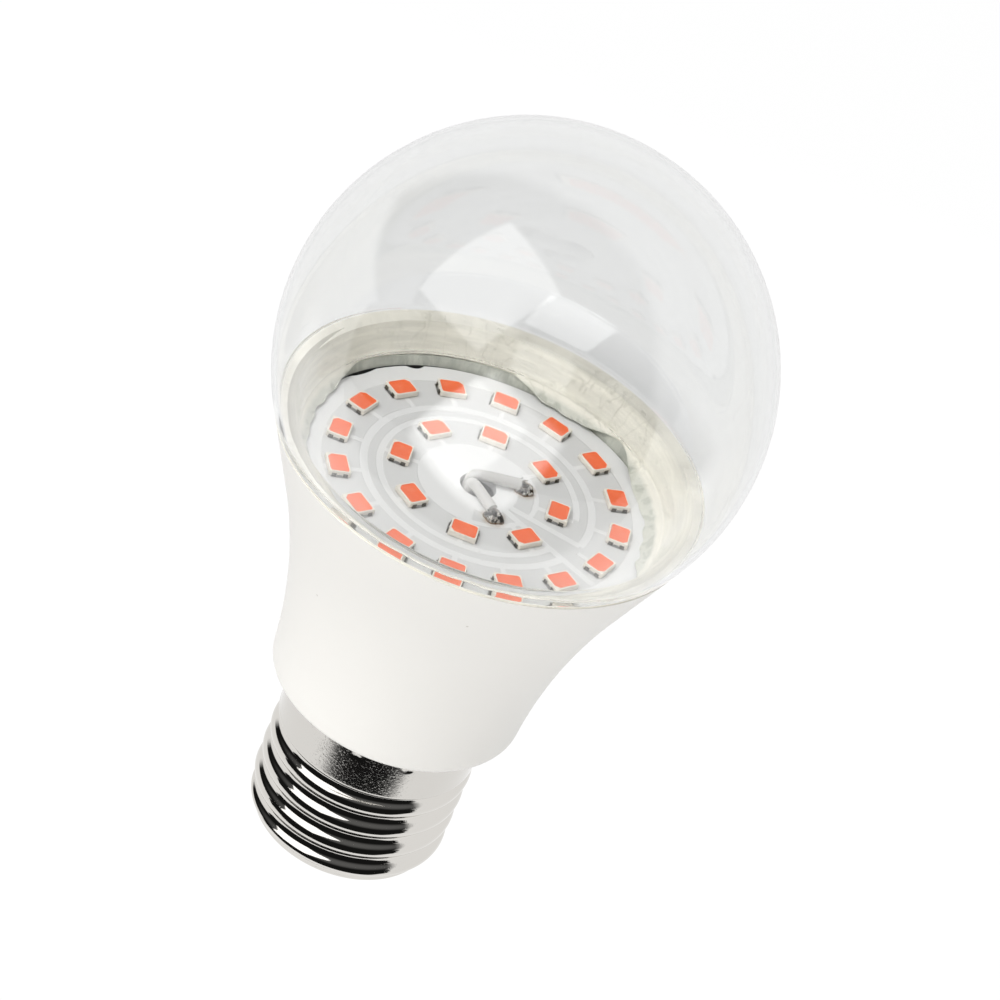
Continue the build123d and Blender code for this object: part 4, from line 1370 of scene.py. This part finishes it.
class BULB_OT_stage(Operator):
    """Floor, soft lamps, dark room behind the camera, white background and camera."""

    bl_idname = "bulb.stage"
    bl_label = "Stage"

    def execute(self, context):
        scene = context.scene
        scene.view_settings.view_transform = "Standard"
        self.camera(scene)
        self.world(scene)
        self.floor(scene)
        self.room(scene)
        self.studio_lamps(scene)
        self.globe_cards(scene)
        return {"FINISHED"}

    def studio_lamps(self, scene):
        """Key lamp, which the globe shows, the light that it spills, and three fills."""
        key_face = Vector((0.661, -0.748, 0.059)), Vector((-0.590, -0.555, -0.587))
        key_place = Vector((-0.2635, -0.1862, 0.5127))
        self.lamp(scene, "key_lamp", key_place, key_face, (0.445, 0.48), 1.35, "both", 0.06)
        self.lamp(scene, "key_spill", key_place * 1.05, key_face, (0.45, 0.48), 2.3)
        fills = (
            ("front_fill", (-0.35, -0.75, 0.0), (0.906, -0.423, 0), (0.6, 0.5), 0.6),
            ("right_fill", (0.25, -0.8, 0.16), (0.95, 0.31, 0), (0.6, 0.5), 1.4),
            ("back_fill", (0.1, 0.85, 0.12), (1, 0, 0), (0.8, 0.6), 0.8),
        )
        for name, place, across, size, level in fills:
            self.lamp(scene, name, Vector(place), (Vector(across), Vector((0, 0, -1))), size, level)

    def globe_cards(self, scene):
        """Cards that light the globe alone: one in front, its image in the back wall, one at each side."""
        place = Vector((-0.0251, -0.2515, 0.069))
        face = Vector((0.916, -0.051, -0.397)), Vector((-0.356, 0.145, -0.923))
        ghost_place = place * 1.04 - face[0] * 0.045 + face[1] * 0.015
        right_place, left_place = Vector((0.2813, -0.0754, -0.1326)), Vector((-0.2665, -0.0233, -0.1619))
        right_face = Vector((-0.259, -0.966, 0)), Vector((-0.568, 0.152, -0.809))
        left_face = Vector((-0.087, 0.996, 0)), Vector((0.667, 0.058, -0.743))
        cards = (
            ("front_card", place, face, (0.25, 0.27), 3.8, "mirror", 0.12),
            ("ghost_card", ghost_place, face, (0.17, 0.21), 2.6, "clear", 0.08),
            ("right_card", right_place, right_face, (0.4, 0.43), 1.0, "mirror", 0.3),
            ("left_card", left_place, left_face, (0.4, 0.43), 1.0, "mirror", 0.3),
        )
        globe_only = bpy.data.collections.new("globe_only")
        globe_only.objects.link(bpy.data.objects["clear_globe"])
        for card in cards:
            self.lamp(scene, *card).light_linking.receiver_collection = globe_only

    def camera(self, scene):
        data = bpy.data.cameras.new("camera")
        data.lens, data.sensor_width = 132.94, 36
        data.clip_start, data.clip_end = 0.01, 20
        eye = bpy.data.objects.new("camera", data)
        right, up = (0.93264, 0.17608, 0.31491), (-0.35827, 0.55504, 0.75071)
        back = (-0.04261, -0.81297, 0.58074)
        place = Matrix((right, up, back)).transposed().to_4x4()
        place.translation = (-0.01589, -0.36214, 0.31889)
        eye.matrix_world = place
        scene.collection.objects.link(eye)
        scene.camera = eye

    def lamp(self, scene, name, place, face, size, level, seen="none", soft=0.0):
        """Flat soft lamp of a given brightness, which mirrors, clear walls, both or none show."""
        (across, down), (width, height) = face, size
        globe_centre = Vector((0, 0, scene.bulb_globe.centre))
        data = bpy.data.lights.new(name, "AREA")
        data.shape, data.size, data.size_y = "RECTANGLE", width, height
        data.energy = level * 4 * width * height
        lamp = bpy.data.objects.new(name, data)
        across = across.normalized()
        down = (down - across * down.dot(across)).normalized()
        away = across.cross(-down)
        if away.dot(place - globe_centre) < 0:
            across, away = -across, -away
        turn = Matrix((across, -down, away)).transposed().to_4x4()
        turn.translation = place
        lamp.matrix_world = turn
        lamp.visible_camera = False
        lamp.visible_glossy, lamp.visible_transmission = seen in ("both", "mirror"), seen in ("both", "clear")
        scene.collection.objects.link(lamp)
        if soft:
            self.soften(data, soft, seen != "clear")
        return lamp

    def soften(self, data, soft, direct):
        """Fades a lamp's face towards its edges. One that isn't direct shows in mirrored rays alone."""
        data.use_nodes = True
        tree = data.node_tree
        split = tree.nodes.new("ShaderNodeSeparateXYZ")
        tree.links.new(tree.nodes.new("ShaderNodeNewGeometry").outputs["Parametric"], split.inputs[0])
        along, down = Term(tree, split.outputs["X"]), Term(tree, split.outputs["Y"])
        fade = along.least(1 - along).eased(0, soft) * down.least(1 - down).eased(0, soft)
        if not direct:
            fade = fade * mirrorings(tree).above(1.5, 0.5)
        tree.links.new(fade.socket, tree.nodes["Emission"].inputs["Strength"])

    def world(self, scene):
        """White to camera, mirror and clear rays, softer light to plain surfaces."""
        world = bpy.data.worlds.new("studio")
        world.use_nodes = True
        scene.world = world
        tree = world.node_tree
        back = tree.nodes["Background"]
        strength = shown_rays(tree) * (1 - WORLD_LIGHT) + WORLD_LIGHT
        tree.links.new(strength.socket, back.inputs["Strength"])
        back.inputs["Color"].default_value = (1, 1, 1, 1)

    def floor(self, scene):
        """Pale floor, which the camera, mirrors and clear walls see as white."""
        half, depth, glow_level, glow_share = 6, 0.35, 1.07, 0.85
        work = bmesh.new()
        bmesh.ops.create_grid(work, x_segments=2, y_segments=2, size=half)
        mesh = bpy.data.meshes.new("floor")
        work.to_mesh(mesh)
        work.free()
        floor = bpy.data.objects.new("floor", mesh)
        mesh.transform(Matrix.Translation((0, 0, -depth)))
        scene.collection.objects.link(floor)
        finish = Finish("floor")
        grain = finish.noise(3)
        tone = finish.blend(grain, (0.88, 0.88, 0.88), (0.9, 0.9, 0.9))
        finish.set(Base_Color=tone, Roughness=grain * 0.1 + 0.6)
        glow = finish.node("ShaderNodeEmission")
        glow.inputs["Strength"].default_value = glow_level
        share = shown_rays(finish.tree) * glow_share
        mesh.materials.append(finish.ended(finish.mixed(share, finish.shader.outputs[0], glow.outputs[0])))

    def dark_wall(self, scene, name, centre, radius, axis, edge, clear):
        """Dark part of the studio, which only mirrors show.

        Its edge is a list of points, each an azimuth, an elevation and a share of fading to white.
        """

        def toward(azimuth, elevation):
            turn, lift = radians(azimuth), radians(elevation)
            return Vector((cos(lift) * cos(turn), cos(lift) * sin(turn), sin(lift)))

        rim, fade, parts, rows = [], [], 8, 14
        for (az, el, share), (next_az, next_el, next_share) in zip(edge, edge[1:] + edge[:1]):
            swing = (next_az - az + 180) % 360 - 180
            for k in np.arange(parts) / parts:
                rim.append(toward(az + swing * k, el + (next_el - el) * k))
                fade.append(share + (next_share - share) * k)
        middle = toward(*axis)
        points, light, faces = [centre + middle * radius], [0.0], []
        for row in range(1, rows + 1):
            for way, share in zip(rim, fade):
                points.append(centre + middle.slerp(way, row / rows) * radius)
                light.append(share * row / rows)
        count = len(rim)
        for k in range(count):
            after = (k + 1) % count
            faces.append((0, 1 + k, 1 + after))
            for row in range(rows - 1):
                here = 1 + row * count
                faces.append((here + k, here + count + k, here + count + after, here + after))
        mesh = bpy.data.meshes.new(name)
        mesh.from_pydata(points, [], faces)
        mesh.attributes.new("fade", "FLOAT", "POINT").data.foreach_set("value", light)
        wall = bpy.data.objects.new(name, mesh)
        scene.collection.objects.link(wall)
        finish = Finish(name)
        glow = finish.node("ShaderNodeEmission")
        out = Term(finish.tree, finish.node("ShaderNodeAttribute", attribute_name="fade").outputs["Fac"])
        high = ((finish.axes()[2] - centre.z) / radius).eased(0.45, 0.95) * 0.12 + 0.01
        straight = 1 - mirrorings(finish.tree).least(1)
        finish.link(high + out.eased(0.88, 1.0).most(straight) * (1 - high), glow.inputs["Strength"])
        mesh.materials.append(finish.ended(glow.outputs[0]))
        wall.visible_camera = wall.visible_diffuse = wall.visible_shadow = False
        wall.visible_transmission, wall.visible_volume_scatter = clear, False

    def room(self, scene):
        """Dark room over and behind the camera, and the dark gap in front of the white table."""
        over = [(-176, 7, 1), (-165, -25, 0), (-100, -25, 0), (-37, -25, 0), (-22, 19, 1)]
        over += [(-9, 39, 1), (9, 54, 1), (54, 66, 1), (103, 57, 1), (116, 46, 1)]
        over += [(126, 30, 1), (132, 16, 1), (137, 9, 1), (160, 9, 1)]
        globe_centre, cap_centre = Vector((0, 0, scene.bulb_globe.centre)), Vector((0, 0, 0.016))
        self.dark_wall(scene, "room", globe_centre, 1.4, (-115, 35), over, clear=True)
        gap = [(-147, -36, 1), (-125, -41, 1), (-99, -46, 1), (-66, -44, 1), (-40, -38, 1)]
        gap += [(-30, -18, 1), (-25, 0, 0), (-60, 5, 0), (-99, 6, 0), (-140, 6, 0)]
        gap += [(-170, 4, 0), (-160, -18, 1)]
        self.dark_wall(scene, "table_gap", cap_centre, 0.4, (-99, -15), gap, clear=False)


class BULB_PT_panel(Panel):
    """Lists the bulb's operators and values."""

    bl_idname = "BULB_PT_panel"
    bl_label = "Grow light bulb"
    bl_space_type = "VIEW_3D"
    bl_region_type = "UI"
    bl_category = "Bulb"

    def draw(self, context):
        for operator in OPERATORS:
            self.layout.operator(operator.bl_idname)
        for name in GROUPS:
            values = getattr(context.scene, name)
            box = self.layout.box()
            for label in values.__annotations__:
                box.prop(values, label)


GROUPS = {
    "bulb_globe": BulbGlobeSizes,
    "bulb_housing": BulbHousingSizes,
    "bulb_board": BulbBoardSizes,
    "bulb_cap": BulbCapSizes,
    "bulb_finish": BulbFinish,
}
OPERATORS = (
    BULB_OT_housing,
    BULB_OT_sealant,
    BULB_OT_globe,
    BULB_OT_board,
    BULB_OT_emitters,
    BULB_OT_wires,
    BULB_OT_driver,
    BULB_OT_cap,
    BULB_OT_stage,
)


def register():
    for group in (*GROUPS.values(), *OPERATORS, BULB_PT_panel):
        bpy.utils.register_class(group)
    for name, group in GROUPS.items():
        setattr(bpy.types.Scene, name, PointerProperty(type=group))


def unregister():
    for name in GROUPS:
        delattr(bpy.types.Scene, name)
    for group in reversed((*GROUPS.values(), *OPERATORS, BULB_PT_panel)):
        bpy.utils.unregister_class(group)


def main():
    register()
    bpy.ops.bulb.housing()
    bpy.ops.bulb.sealant()
    bpy.ops.bulb.globe()
    bpy.ops.bulb.board()
    bpy.ops.bulb.emitters()
    bpy.ops.bulb.wires()
    bpy.ops.bulb.driver()
    bpy.ops.bulb.cap()
    bpy.ops.bulb.stage()


if __name__ == "__main__":
    main()
